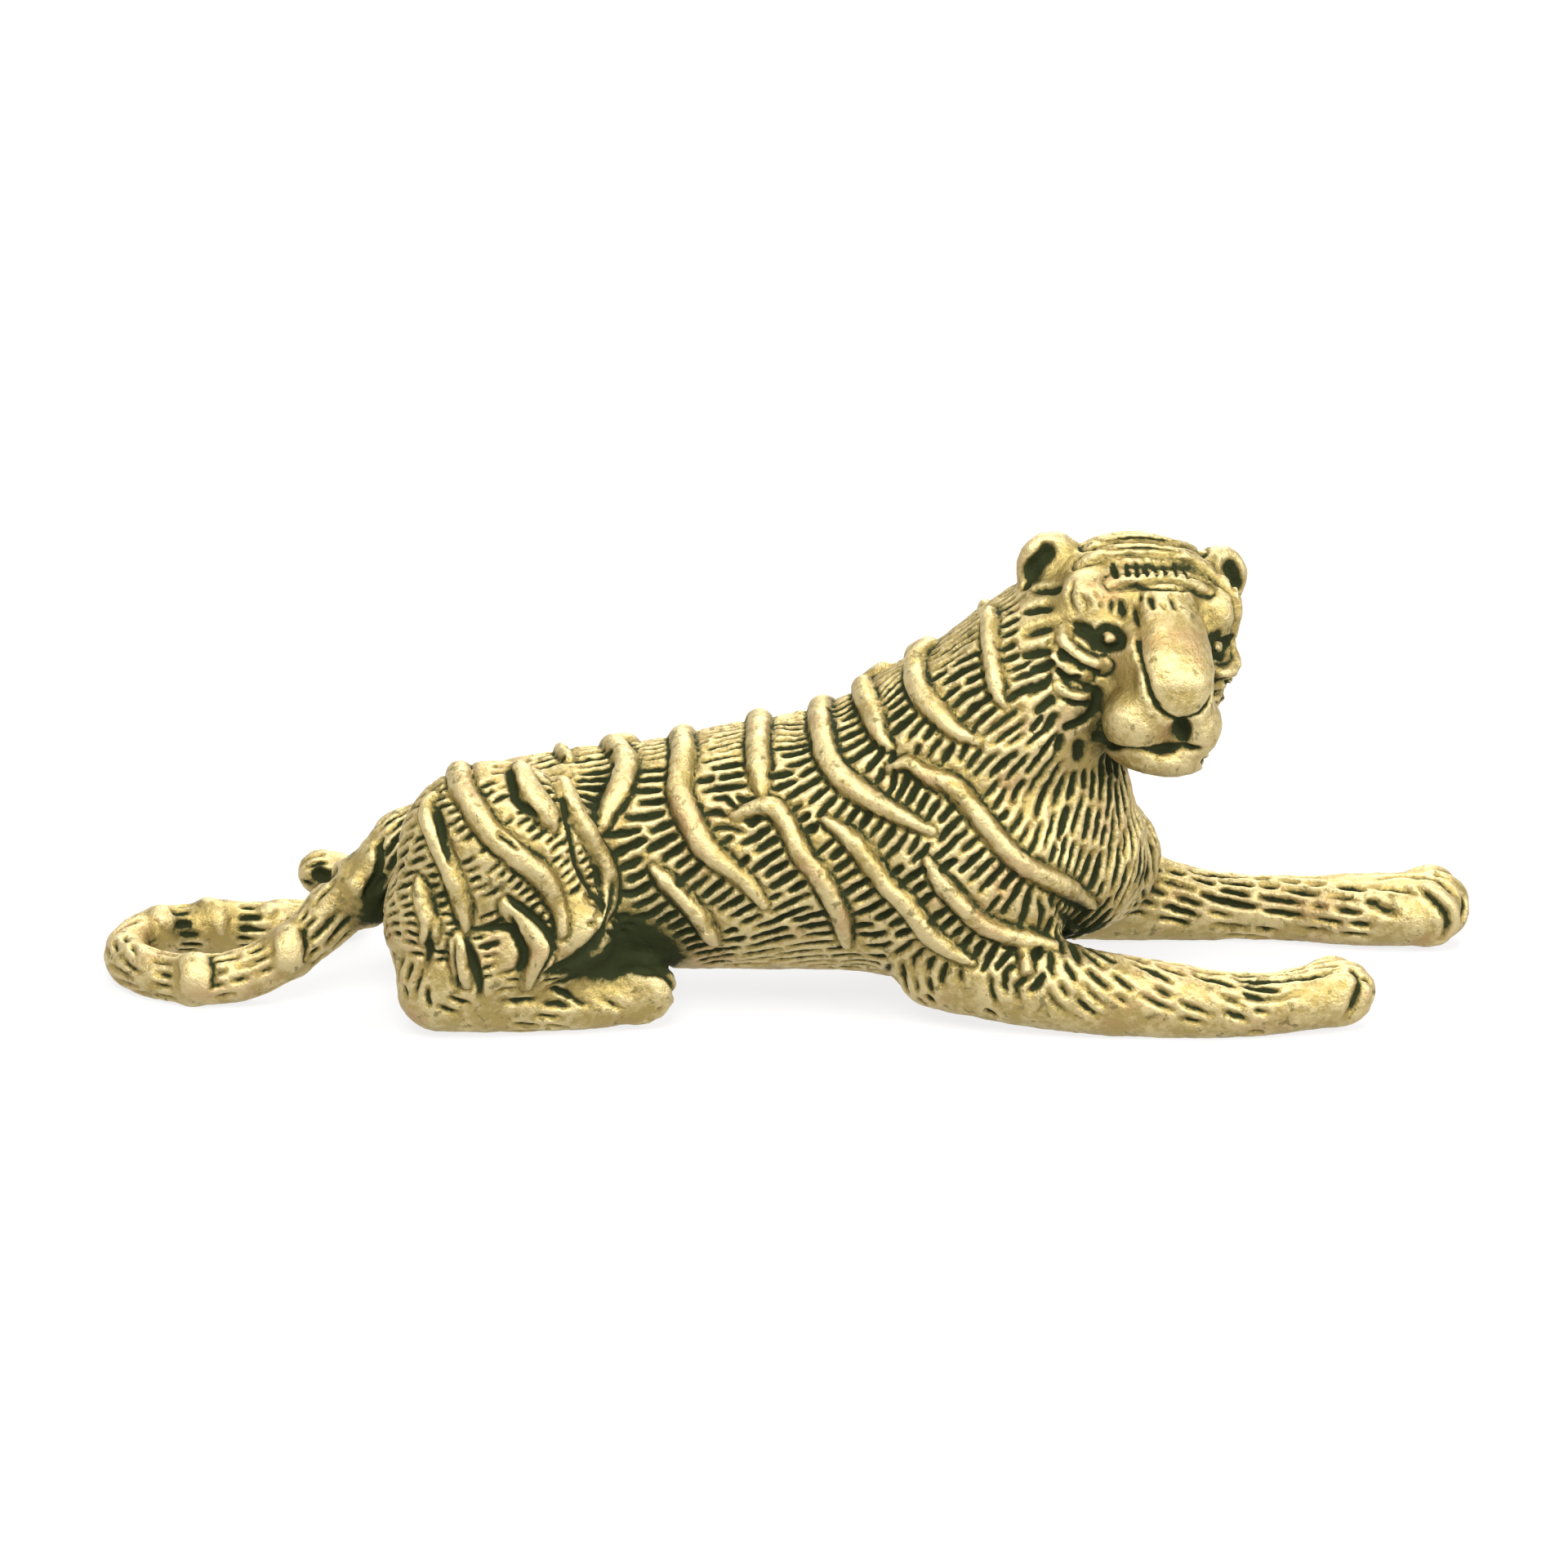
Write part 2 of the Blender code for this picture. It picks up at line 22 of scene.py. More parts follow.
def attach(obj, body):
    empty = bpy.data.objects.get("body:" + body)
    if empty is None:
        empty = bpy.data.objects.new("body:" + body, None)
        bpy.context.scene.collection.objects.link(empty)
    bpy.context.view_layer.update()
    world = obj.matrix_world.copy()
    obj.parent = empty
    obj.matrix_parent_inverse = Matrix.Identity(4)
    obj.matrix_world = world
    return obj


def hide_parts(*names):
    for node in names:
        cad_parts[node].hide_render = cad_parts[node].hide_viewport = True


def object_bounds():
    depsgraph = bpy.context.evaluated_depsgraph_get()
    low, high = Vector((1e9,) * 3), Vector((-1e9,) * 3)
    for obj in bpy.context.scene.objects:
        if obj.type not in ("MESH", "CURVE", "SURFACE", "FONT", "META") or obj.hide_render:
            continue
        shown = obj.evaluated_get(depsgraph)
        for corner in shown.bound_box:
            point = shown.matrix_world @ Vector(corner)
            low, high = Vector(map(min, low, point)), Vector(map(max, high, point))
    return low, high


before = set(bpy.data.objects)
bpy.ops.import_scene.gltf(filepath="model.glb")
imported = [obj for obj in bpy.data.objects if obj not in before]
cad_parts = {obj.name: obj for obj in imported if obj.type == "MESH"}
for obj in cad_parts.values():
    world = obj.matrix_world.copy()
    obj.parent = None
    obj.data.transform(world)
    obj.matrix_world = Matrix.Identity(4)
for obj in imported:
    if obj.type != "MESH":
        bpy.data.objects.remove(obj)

CAD_LOW, CAD_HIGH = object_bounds()
MM = 0.001
GOLDEN_TURN = 2.39996
LOG = logging.getLogger("tiger")

Pixel = tuple[float, float]
Flow = tuple[float, float, float, float]
Station = tuple[float, float, float, float, float]
Line = list[tuple[Vector, Vector]]


@dataclass(frozen=True)
class PhotoView:
    """The photograph's view, which places the carving and the camera."""

    centre: float = 960.0
    pixels_per_mm: float = 22.1
    elevation: float = math.radians(20.0)
    distance: float = 500.0
    target: Vector = Vector((-0.2, 0.0, 12.2))

    def axes(self) -> tuple[Vector, Vector]:
        """The directions ahead of and above the eye."""
        ahead = Vector((0, math.cos(self.elevation), -math.sin(self.elevation)))
        rise = Vector((0, math.sin(self.elevation), math.cos(self.elevation)))
        return ahead, rise

    def sight_line(self, pixel: Pixel) -> tuple[Vector, Vector]:
        """The eye and the direction in which it sees a pixel.

        Args:
            pixel: Place on the photograph, right and down from its corner.

        Returns:
            The eye's place, and the unit direction of sight.
        """
        ahead, rise = self.axes()
        across = (pixel[0] - self.centre) / self.pixels_per_mm
        up = (self.centre - pixel[1]) / self.pixels_per_mm
        sight = ahead * self.distance + rise * up + Vector((across, 0, 0))
        return self.target - ahead * self.distance, sight.normalized()

    def place_camera(self, shift: Vector) -> bpy.types.Object:
        """Makes the scene's camera.

        Args:
            shift: Move from the modeller's frame to the row frame, in millimetres.

        Returns:
            The camera.
        """
        ahead, _ = self.axes()
        camera = bpy.data.objects.new("camera", bpy.data.cameras.new("camera"))
        bpy.context.scene.collection.objects.link(camera)
        camera.location = (self.target + shift - ahead * self.distance) * MM
        camera.rotation_euler = (math.pi / 2 - self.elevation, 0.0, 0.0)
        camera.data.sensor_width = 36.0
        camera.data.lens = self.pixels_per_mm * self.distance * 36.0 / (2 * self.centre)
        camera.data.clip_end = 20.0
        bpy.context.scene.camera = camera
        return camera


VIEW = PhotoView()
ACROSS_BODY = Matrix.Scale(-1, 4, Vector((0, 1, 0)))
FAR_HAUNCH_STARTS = 3.0
TO_FAR_HAUNCH = (Matrix.Translation((0.8, 0, 0)) @ Matrix.Scale(0.7, 4, Vector((0, 0, 1)))
                 @ ACROSS_BODY)


def smooth_path(stations: list, steps: int = 6) -> list[Vector]:
    """The stations joined by a Catmull-Rom curve through all their numbers.

    Args:
        stations: Rows of numbers of one length.
        steps: Points made from each station to the next.

    Returns:
        The rows along the curve.
    """
    rows = [Vector(station) for station in stations]
    path = []
    for index in range(len(rows) - 1):
        start, end = rows[index], rows[index + 1]
        before = rows[index - 1] if index else start * 2 - end
        after = rows[index + 2] if index + 2 < len(rows) else end * 2 - start
        for step in range(steps):
            t = step / steps
            bend = before * 2 - start * 5 + end * 4 - after
            twist = start * 3 - before - end * 3 + after
            path.append(0.5 * (start * 2 + (end - before) * t + bend * t * t + twist * t * t * t))
    path.append(rows[-1])
    return path


def taper(index: int, count: int, tip: float = 0.34, swell: float = 0.66,
          run_in: float = 6.0, curve: float = 0.7) -> float:
    """The share of a stripe's full width at one of its places: less towards both ends.

    Args:
        index: Number of the place.
        count: Number of places.
        tip: The share at the very ends.
        swell: What the middle has beyond that.
        run_in: How many times the narrowing goes into the stripe's length.
        curve: How roundly it narrows; 1 is straight.

    Returns:
        The share.
    """
    to_end = min(index, count - 1 - index)
    return tip + swell * min(1.0, run_in * to_end / count) ** curve


def evened(line: Line, spacing: float = 0.22, passes: int = 4) -> Line:
    """A line with evenly spaced places and gently turning normals.

    Args:
        line: Places and normals.
        spacing: Gap between the places, in millimetres.
        passes: Passes of smoothing along the line.

    Returns:
        The new places and normals.
    """
    if not line:
        return []
    places, normals = [], []
    for (start, first), (end, second) in zip(line, line[1:]):
        steps = max(1, round((end - start).length / spacing))
        for step in range(steps):
            places.append(start.lerp(end, step / steps))
            normals.append(first.lerp(second, step / steps))
    places.append(line[-1][0].copy())
    normals.append(line[-1][1].copy())
    for _ in range(passes):
        places = [places[0]] + [
            (before + 2 * here + after) / 4
            for before, here, after in zip(places, places[1:], places[2:])
        ] + [places[-1]]
        normals = [normals[0]] + [
            (before + 2 * here + after) / 4
            for before, here, after in zip(normals, normals[1:], normals[2:])
        ] + [normals[-1]]
    return [(place, normal.normalized()) for place, normal in zip(places, normals)]


def apply_modifiers(obj: bpy.types.Object) -> None:
    """Applies all of an object's modifiers in order, and leaves it active and selected."""
    bpy.ops.object.select_all(action="DESELECT")
    obj.select_set(True)
    bpy.context.view_layer.objects.active = obj
    for modifier in list(obj.modifiers):
        bpy.ops.object.modifier_apply(modifier=modifier.name)


class Clay:
    """Lumps and limbs that are pressed together into one closed skin."""

    wander: float = 0.22
    wander_scale: float = 0.6

    def __init__(self, bm: bmesh.types.BMesh | None = None) -> None:
        """Starts empty, or from a skin that was fused before."""
        self.bm = bm or bmesh.new()

    def ring(self, centre: Vector, along: Vector, standing: Vector, width: float, height: float,
             sides: int) -> list[bmesh.types.BMVert]:
        """One elliptical ring of a limb, square to its direction."""
        across = standing.cross(along)
        across = across.normalized() if across.length > 1e-6 else Vector((0, 1, 0))
        rise = along.cross(across).normalized()
        turns = [2 * math.pi * side / sides for side in range(sides)]
        return [
            self.bm.verts.new(
                centre + across * width * math.cos(turn) + rise * height * math.sin(turn)
            )
            for turn in turns
        ]

    def limb(self, stations: list, place: Matrix | None = None, normals: list | None = None,
             sides: int = 24, caps: int = 4) -> None:
        """Lofts rings along the stations and rounds both ends off.

        Args:
            stations: Rows of x, y, z, half width and half height.
            place: Frame of the stations, such as the head's.
            normals: Directions in which the half height stands; upwards if left out.
            sides: Corners of a ring.
            caps: Rings of each rounded end.
        """
        path = stations if normals else smooth_path(stations)
        centres = [Vector(row[:3]) for row in path]
        rings = []

        def standing(index: int) -> Vector:
            """The direction in which the half height stands."""
            return normals[index] if normals else Vector((0, 0, 1))

        def cap(index: int, direction: int) -> Vector:
            """Rings that round one end off, and its pole."""
            row = path[index]
            along = (centres[1] - centres[0]) if index == 0 else (centres[-1] - centres[-2])
            along.normalize()
            reach = min(row[3], row[4])
            angles = [math.pi / 2 * step / caps for step in range(1, caps)]
            for angle in reversed(angles) if direction < 0 else angles:
                centre = centres[index] + along * direction * reach * math.sin(angle)
                shrink = math.cos(angle)
                rings.append(self.ring(centre, along, standing(index), row[3] * shrink,
                                       row[4] * shrink, sides))
            return centres[index] + along * direction * reach

        first = cap(0, -1)
        for index, row in enumerate(path):
            ahead = centres[min(index + 1, len(path) - 1)]
            behind = centres[max(index - 1, 0)]
            rings.append(self.ring(centres[index], (ahead - behind).normalized(),
                                   standing(index), row[3], row[4], sides))
        last = cap(len(path) - 1, 1)
        for ring, following in zip(rings, rings[1:]):
            for side in range(sides):
                after = (side + 1) % sides
                self.bm.faces.new((ring[side], ring[after], following[after], following[side]))
        for ring, pole in ((rings[0], first), (rings[-1], last)):
            tip = self.bm.verts.new(pole)
            for side in range(sides):
                self.bm.faces.new((ring[side], ring[(side + 1) % sides], tip))
            rings.append([tip])
        if place:
            verts = [vert for ring in rings for vert in ring]
            bmesh.ops.transform(self.bm, matrix=place, verts=verts)

    def lump(self, centre: tuple, radii: tuple, place: Matrix | None = None, turn: float = 0.0,
             both_sides: bool = False) -> None:
        """Adds an ellipsoid.

        Args:
            centre: Its middle.
            radii: Its three half lengths.
            place: Frame of the lump, such as the head's.
            turn: Turn about Y in degrees.
            both_sides: Whether one that is off the middle is repeated on the other side.
        """
        frames = [Vector(centre)]
        if both_sides and centre[1]:
            frames.append(Vector((centre[0], -centre[1], centre[2])))
        for middle in frames:
            matrix = (place or Matrix.Identity(4)) @ Matrix.Translation(middle)
            matrix = matrix @ Matrix.Rotation(math.radians(turn), 4, "Y")
            matrix = matrix @ Matrix.Diagonal((*radii, 1.0))
            bmesh.ops.create_icosphere(self.bm, subdivisions=4, radius=1.0, matrix=matrix)

    def ridge(self, line: Line, half_width: float, height: float) -> None:
        """A raised stripe along a line on the skin, a little uneven and tapering to its ends."""
        if len(line) < 2:
            return
        line = evened(line)
        rows = []
        for index, (place, _) in enumerate(line):
            unevenness = self.wander * noise.noise(place * self.wander_scale)
            share = taper(index, len(line)) * (1.0 + unevenness)
            rows.append((*place, half_width * share, height * share))
        self.limb(rows, normals=[normal for _, normal in line], sides=18, caps=3)

    def fuse(self, voxel: float, smoothing: int) -> "Skin":
        """Presses everything into one closed skin.

        Args:
            voxel: Fineness of the skin, in millimetres.
            smoothing: Passes of smoothing after it.

        Returns:
            The skin.
        """
        bmesh.ops.recalc_face_normals(self.bm, faces=self.bm.faces)
        mesh = bpy.data.meshes.new("clay")
        self.bm.to_mesh(mesh)
        self.bm.free()
        clay = bpy.data.objects.new("clay", mesh)
        bpy.context.scene.collection.objects.link(clay)
        remesh = clay.modifiers.new("fuse", "REMESH")
        remesh.mode = "VOXEL"
        remesh.voxel_size = voxel
        smooth = clay.modifiers.new("smooth", "SMOOTH")
        smooth.factor = 0.5
        smooth.iterations = smoothing
        apply_modifiers(clay)
        return Skin(clay)


class Skin:
    """A closed skin of clay that can be sighted from the photograph, carved and refined."""

    cast_from: float = 3.5
    cast_reach: float = 6.0
    farthest_copy: float = 2.6
    smooth_gap: float = 0.25

    def __init__(self, obj: bpy.types.Object) -> None:
        """Reads the places, normals and edges of an object's mesh."""
        self.obj = obj
        mesh = obj.data
        count = len(mesh.vertices)
        self.places = np.empty(count * 3)
        mesh.vertices.foreach_get("co", self.places)
        self.places = self.places.reshape(-1, 3)
        self.normals = np.empty(count * 3)
        mesh.vertices.foreach_get("normal", self.normals)
        self.normals = self.normals.reshape(-1, 3)
        edges = np.empty(len(mesh.edges) * 2, int)
        mesh.edges.foreach_get("vertices", edges)
        self.edges = edges.reshape(-1, 2)
        self.tree = BVHTree.FromPolygons([vert.co.copy() for vert in mesh.vertices],
                                         [tuple(face.vertices) for face in mesh.polygons])
        self.sink = np.zeros(count)

    def finder(self, ragged: float = 0.0) -> KDTree:
        """A tree that finds the skin's points near a place.

        Args:
            ragged: How far each point is taken aside, in millimetres, to roughen a cut's edges.

        Returns:
            The tree.
        """
        finder = KDTree(len(self.places))
        for index, place in enumerate(self.places):
            aside = noise.noise_vector(place * 2.3) * ragged if ragged else (0.0, 0.0, 0.0)
            finder.insert(place + np.array(aside), index)
        finder.balance()
        return finder

    def clay(self, keep: bool = False) -> Clay:
        """The skin as clay again, to add more to it; the skin itself goes unless it is kept."""
        bm = bmesh.new()
        bm.from_mesh(self.obj.data)
        if not keep:
            self.discard()
        return Clay(bm)

    def discard(self) -> None:
        """Removes the skin's object."""
        mesh = self.obj.data
        bpy.data.objects.remove(self.obj)
        bpy.data.meshes.remove(mesh)

    def sight(self, pixel: Pixel, beyond: float = 2.2) -> tuple[Vector, Vector]:
        """Where a pixel's sight line meets the skin, or nearly does.

        Args:
            pixel: Place on the photograph.
            beyond: How far past the middle plane the back's outline lies.

        Returns:
            The place and the skin's normal there.
        """
        eye, direction = VIEW.sight_line(pixel)
        place, normal, _, _ = self.tree.ray_cast(eye, direction)
        if place is None:
            over_back = eye + direction * ((beyond - eye.y) / direction.y)
            place, normal, _, _ = self.tree.find_nearest(over_back)
        return place, normal

    def traced(self, pixels: list[Pixel], steps: int = 5) -> Line:
        """A smooth line through the pixels, laid on the skin."""
        return [self.sight(pixel) for pixel in smooth_path(pixels, steps)]

    def calmed(self, pixels: list[Pixel], passes: int = 24, steadying: int = 6) -> Line:
        """A line through pixels near the outline, freed of the waves that a low view gives.

        Args:
            pixels: Places on the photograph.
            passes: Passes of smoothing across the view.
            steadying: How many times as many passes smooth the line's depth in the view.

        Returns:
            The line's places and normals.
        """
        traced = self.traced(pixels)
        ahead, _ = VIEW.axes()
        line = []
        gentle = evened(traced, self.smooth_gap, passes)
        calm = evened(traced, self.smooth_gap, steadying * passes)
        for (place, _), (steady, _) in zip(gentle, calm):
            behind = ahead * (steady - place).dot(ahead)
            near, normal, _, _ = self.tree.find_nearest(place + behind)
            line.append((near, normal))
        return line

    def reflected(self, line: Line, mirror: Matrix, beyond: float = -math.inf) -> Line:
        """The line on the other side of a mirror plane, laid on the skin again.

        Args:
            line: Places and normals.
            mirror: The reflection.
            beyond: Places whose Y is lower than this are left out.

        Returns:
            The reflected places and normals, without those that the skin has no place for.
        """
        copies = []
        for place, facing in line:
            copy = mirror @ place
            outward = (mirror.to_3x3() @ facing).normalized()
            if copy.y <= beyond:
                continue
            start = copy + outward * self.cast_from
            near, normal, _, _ = self.tree.ray_cast(start, -outward, self.cast_reach)
            if near is None:
                near, normal, _, _ = self.tree.find_nearest(copy)
            if (near - copy).length < self.farthest_copy:
                copies.append((near, normal))
        return copies

    def spread(self, values: np.ndarray, passes: int) -> np.ndarray:
        """Values at the points, averaged with their neighbours' a number of times."""
        count = len(self.places)
        first, second = self.edges[:, 0], self.edges[:, 1]
        degree = np.bincount(first, minlength=count) + np.bincount(second, minlength=count)
        for _ in range(passes):
            total = np.stack([
                np.bincount(first, values[second, axis], count)
                + np.bincount(second, values[first, axis], count)
                for axis in range(values.shape[1])
            ], axis=1)
            values = 0.5 * values + 0.5 * total / degree[:, None]
        return values

    def shelter(self, reach: float = 4.5, rays: int = 12, lift: float = 0.06) -> np.ndarray:
        """The share of directions in which each point faces another part of the skin.

        Args:
            reach: How far away it still counts, in millimetres.
            rays: Directions tried from each point.
            lift: How far off the skin a ray starts.

        Returns:
            A share for each point.
        """
        turns = [GOLDEN_TURN * ray for ray in range(rays)]
        rises = [math.sqrt((ray + 0.5) / rays) for ray in range(rays)]
        found = np.zeros(len(self.places))
        for index, (place, facing) in enumerate(zip(self.places, self.normals)):
            normal = Vector(facing)
            start = Vector(place) + normal * lift
            side = normal.orthogonal().normalized()
            other = normal.cross(side)
            for turn, rise in zip(turns, rises):
                flat = math.sqrt(1.0 - rise * rise)
                way = side * math.cos(turn) * flat + other * math.sin(turn) * flat + normal * rise
                if self.tree.ray_cast(start, way, reach)[0] is not None:
                    found[index] += 1.0 / rays
        return self.spread(found[:, None], 3)[:, 0]

    def hollowness(self, passes: int) -> np.ndarray:
        """How far each point lies under the average skin around it, in millimetres."""
        return np.einsum("ij,ij->i", self.spread(self.places, passes) - self.places, self.normals)


@dataclass(frozen=True)
class Cut:
    """A line cut into the skin: its places, half width and depth in millimetres."""

    line: Line
    half_width: float
    depth: float
    tapered: bool = False
    run_out: float = 0.7
    run_out_curve: float = 0.35

    def samples(self, spacing: float = 0.1) -> list[tuple[Vector, float]]:
        """Closely spaced places along the cut, with the depth at each."""
        if not self.line:
            return []
        places = []
        for (start, _), (end, _) in zip(self.line, self.line[1:]):
            steps = max(1, math.ceil((end - start).length / spacing))
            places += [start.lerp(end, step / steps) for step in range(steps)]
        places.append(self.line[-1][0])
        last = max(1, len(places) - 1)
        made = []
        for index, place in enumerate(places):
            share = 1.0
            if self.tapered:
                turn = math.pi * (index + self.run_out) / (last + 2 * self.run_out)
                share = math.sin(turn) ** self.run_out_curve
            made.append((place, self.depth * share))
        return made


def engraved(skin: Skin, drawn: list[tuple], mirror: Matrix | None = None,
             beyond: float = -math.inf, tapered: bool = True) -> list[Cut]:
    """Cuts along lines drawn on the photograph, with their reflections where they have them.

    Args:
        skin: The skin that they are cut in.
        drawn: For each cut its pixels, half width and depth.
        mirror: The reflection, or none.
        beyond: Reflected places whose Y is lower than this are left out.
        tapered: Whether the cuts run out towards their ends.

    Returns:
        The cuts.
    """
    made = []
    for pixels, half_width, depth in drawn:
        line = skin.traced(pixels)
        made.append(Cut(line, half_width, depth, tapered))
        if mirror:
            copy = skin.reflected(line, mirror, beyond)
            if len(copy) > 2:
                made.append(Cut(copy, half_width, depth, tapered))
    return made


class Coat(Enum):
    """How a region's fur is cut."""

    FLANK = "flank"
    BACK = "back"
    HAUNCH = "haunch"
    CHEST = "chest"
    LEG = "leg"
    TAIL = "tail"
    CROWN = "crown"
    BARE = "bare"


@dataclass(frozen=True)
class StrokeStyle:
    """Spacing, lengths, half width and depth of a coat's strokes, and the share that is cut."""

    spacing: float
    shortest: float
    longest: float
    half_width: float
    depth: float
    share: float = 1.0


STYLES = {
    Coat.FLANK: StrokeStyle(0.74, 1.9, 3.9, 0.2, 0.46),
    Coat.BACK: StrokeStyle(0.54, 1.6, 3.8, 0.14, 0.3),
    Coat.HAUNCH: StrokeStyle(0.56, 0.8, 1.5, 0.14, 0.32, 0.85),
    Coat.CHEST: StrokeStyle(0.7, 1.8, 4.6, 0.19, 0.42),
    Coat.LEG: StrokeStyle(0.82, 1.0, 2.6, 0.19, 0.34, 0.9),
    Coat.TAIL: StrokeStyle(0.84, 0.9, 2.6, 0.17, 0.3, 0.85),
    Coat.CROWN: StrokeStyle(0.55, 1.2, 2.8, 0.13, 0.22),
}


@dataclass
class Source:
    """One place on the skin where the fur's direction and coat are known."""

    place: Vector
    direction: Vector
    coat: Coat


@dataclass
class Fur:
    """Strokes that follow the form, evenly spaced, and stop short of the stripes."""

    seed: int = 7
    step: float = 0.2
    margin: float = 0.1
    fine_gap: float = 0.12
    softness: float = 0.6
    sharpest_turn: float = 0.3
    start_room: float = 0.9
    side_room: float = 0.62
    cell: float = 0.8
    splits: tuple = (0.3, 0.7)
    depths: tuple = (0.75, 1.15)
    widths: tuple = (0.85, 1.2)
    told_every: int = 10
    downward: float = 0.35
    sources: list[Source] = field(default_factory=list)
    stripes: list[tuple[Vector, float]] = field(default_factory=list)
    bands: list[tuple[Vector, float]] = field(default_factory=list)

    def learn_stripe(self, line: Line, half_width: float, coat: Coat) -> None:
        """Keeps strokes off a stripe, and sets them square to it on both sides.

        Args:
            line: The stripe's places and normals.
            half_width: Half its width.
            coat: The coat beside it.
        """
        line = evened(line, self.fine_gap)
        for index, (place, normal) in enumerate(line):
            self.stripes.append((place, half_width * taper(index, len(line))))
            if index % self.told_every == self.told_every // 2 and index + 1 < len(line):
                along = line[index + 1][0] - line[index - 1][0]
                across = along.cross(normal)
                if across.length < 1e-6:
                    continue
                across.normalize()
                if across.x + self.downward * across.z > 0:
                    across.negate()
                self.sources.append(Source(place, across, coat))

    def learn_flows(self, skin: Skin, flows: list[tuple[Coat, list[Flow]]],
                    mirror: Matrix | None = None) -> None:
        """Sets the fur's direction and coat from short lines on the photograph.

        Args:
            skin: The skin that the lines lie on.
            flows: Coats, each with its lines: where one starts and ends, in pixels.
            mirror: The reflection that repeats them, or none.
        """
        for coat, lines in flows:
            for line in lines:
                first, _ = skin.sight(line[:2])
                second, _ = skin.sight(line[2:])
                flow = (second - first).normalized()
                middle = (first + second) / 2
                self.sources.append(Source(middle, flow, coat))
                if mirror:
                    turned = (mirror.to_3x3() @ flow).normalized()
                    self.sources.append(Source(mirror @ middle, turned, coat))

    def keep_clear(self, line: Line, half_width: float, share: float = 0.9) -> list[tuple]:
        """Places along a ridge that fur keeps off, with the half width kept free."""
        return [(place, share * half_width) for place, _ in evened(line, self.fine_gap)]

    def field_over(self, skin: Skin) -> tuple[np.ndarray, np.ndarray, np.ndarray]:
        """The fur's direction and coat at every point of a skin.

        Args:
            skin: The skin.

        Returns:
            Unit directions, the number of the coat in the Enum's order, and how far the nearest
            stripe's edge is.
        """
        coats = list(Coat)
        places = np.array([source.place for source in self.sources])
        flows = np.array([source.direction for source in self.sources])
        kinds = np.array([coats.index(source.coat) for source in self.sources])
        directions = np.empty_like(skin.places)
        kind = np.empty(len(skin.places), int)
        portion = 2000
        for start in range(0, len(skin.places), portion):
            part = slice(start, start + portion)
            gaps = ((skin.places[part, None, :] - places[None]) ** 2).sum(2)
            weights = 1.0 / (gaps + self.softness) ** 2
            directions[part] = weights @ flows
            kind[part] = kinds[gaps.argmin(1)]
        inward = (directions * skin.normals).sum(1, keepdims=True)
        directions -= inward * skin.normals
        directions /= np.linalg.norm(directions, axis=1, keepdims=True) + 1e-9
        raised = self.stripes + self.bands
        finder = KDTree(len(raised))
        for index, (place, _) in enumerate(raised):
            finder.insert(place, index)
        finder.balance()
        clear = np.empty(len(skin.places))
        for index, place in enumerate(skin.places):
            _, nearest, gap = finder.find(place)
            clear[index] = gap - raised[nearest][1]
        return directions, kind, clear

    def grow(self, skin: Skin) -> list[Cut]:
        """Cuts strokes all over a skin.

        Args:
            skin: The skin, before it is cut.

        Returns:
            The strokes.
        """
        directions, kind, clear = self.field_over(skin)
        coats = list(Coat)
        finder = skin.finder()
        rng = np.random.default_rng(self.seed)
        taken: dict[tuple[int, int, int], list[tuple[Vector, int]]] = defaultdict(list)
        cell = self.cell

        def key(place: Vector) -> tuple[int, int, int]:
            """The cell that a place lies in."""
            return (math.floor(place.x / cell), math.floor(place.y / cell),
                    math.floor(place.z / cell))

        def crowded(place: Vector, gap: float, mine: int) -> bool:
            """Whether another stroke is nearer than the gap."""
            i, j, k = key(place)
            limit = gap * gap
            for di in (-1, 0, 1):
                for dj in (-1, 0, 1):
                    for dk in (-1, 0, 1):
                        for other, owner in taken.get((i + di, j + dj, k + dk), ()):
                            if owner != mine and (other - place).length_squared < limit:
                                return True
            return False

        def style_at(index: int) -> StrokeStyle | None:
            """The stroke style at a point of the skin, or none where it stays bare."""
            if clear[index] < self.margin:
                return None
            return STYLES.get(coats[kind[index]])

        def walk(start: Vector, sign: int, reach: float, mine: int, style: StrokeStyle) -> Line:
            """Places from a start along the fur, until something is in the way."""
            path: Line = []
            place, length, before = start, 0.0, None
            while length < reach:
                near, index, _ = finder.find(place)
                flow = Vector(directions[index]) * sign
                if before is not None and flow.dot(before) < self.sharpest_turn:
                    break
                ahead, normal, _, _ = skin.tree.find_nearest(place + flow * self.step)
                _, index, _ = finder.find(ahead)
                if style_at(index) is None:
                    break
                if crowded(ahead, self.side_room * style.spacing, mine):
                    break
                path.append((ahead, normal))
                place, before = ahead, flow
                length += self.step
            return path

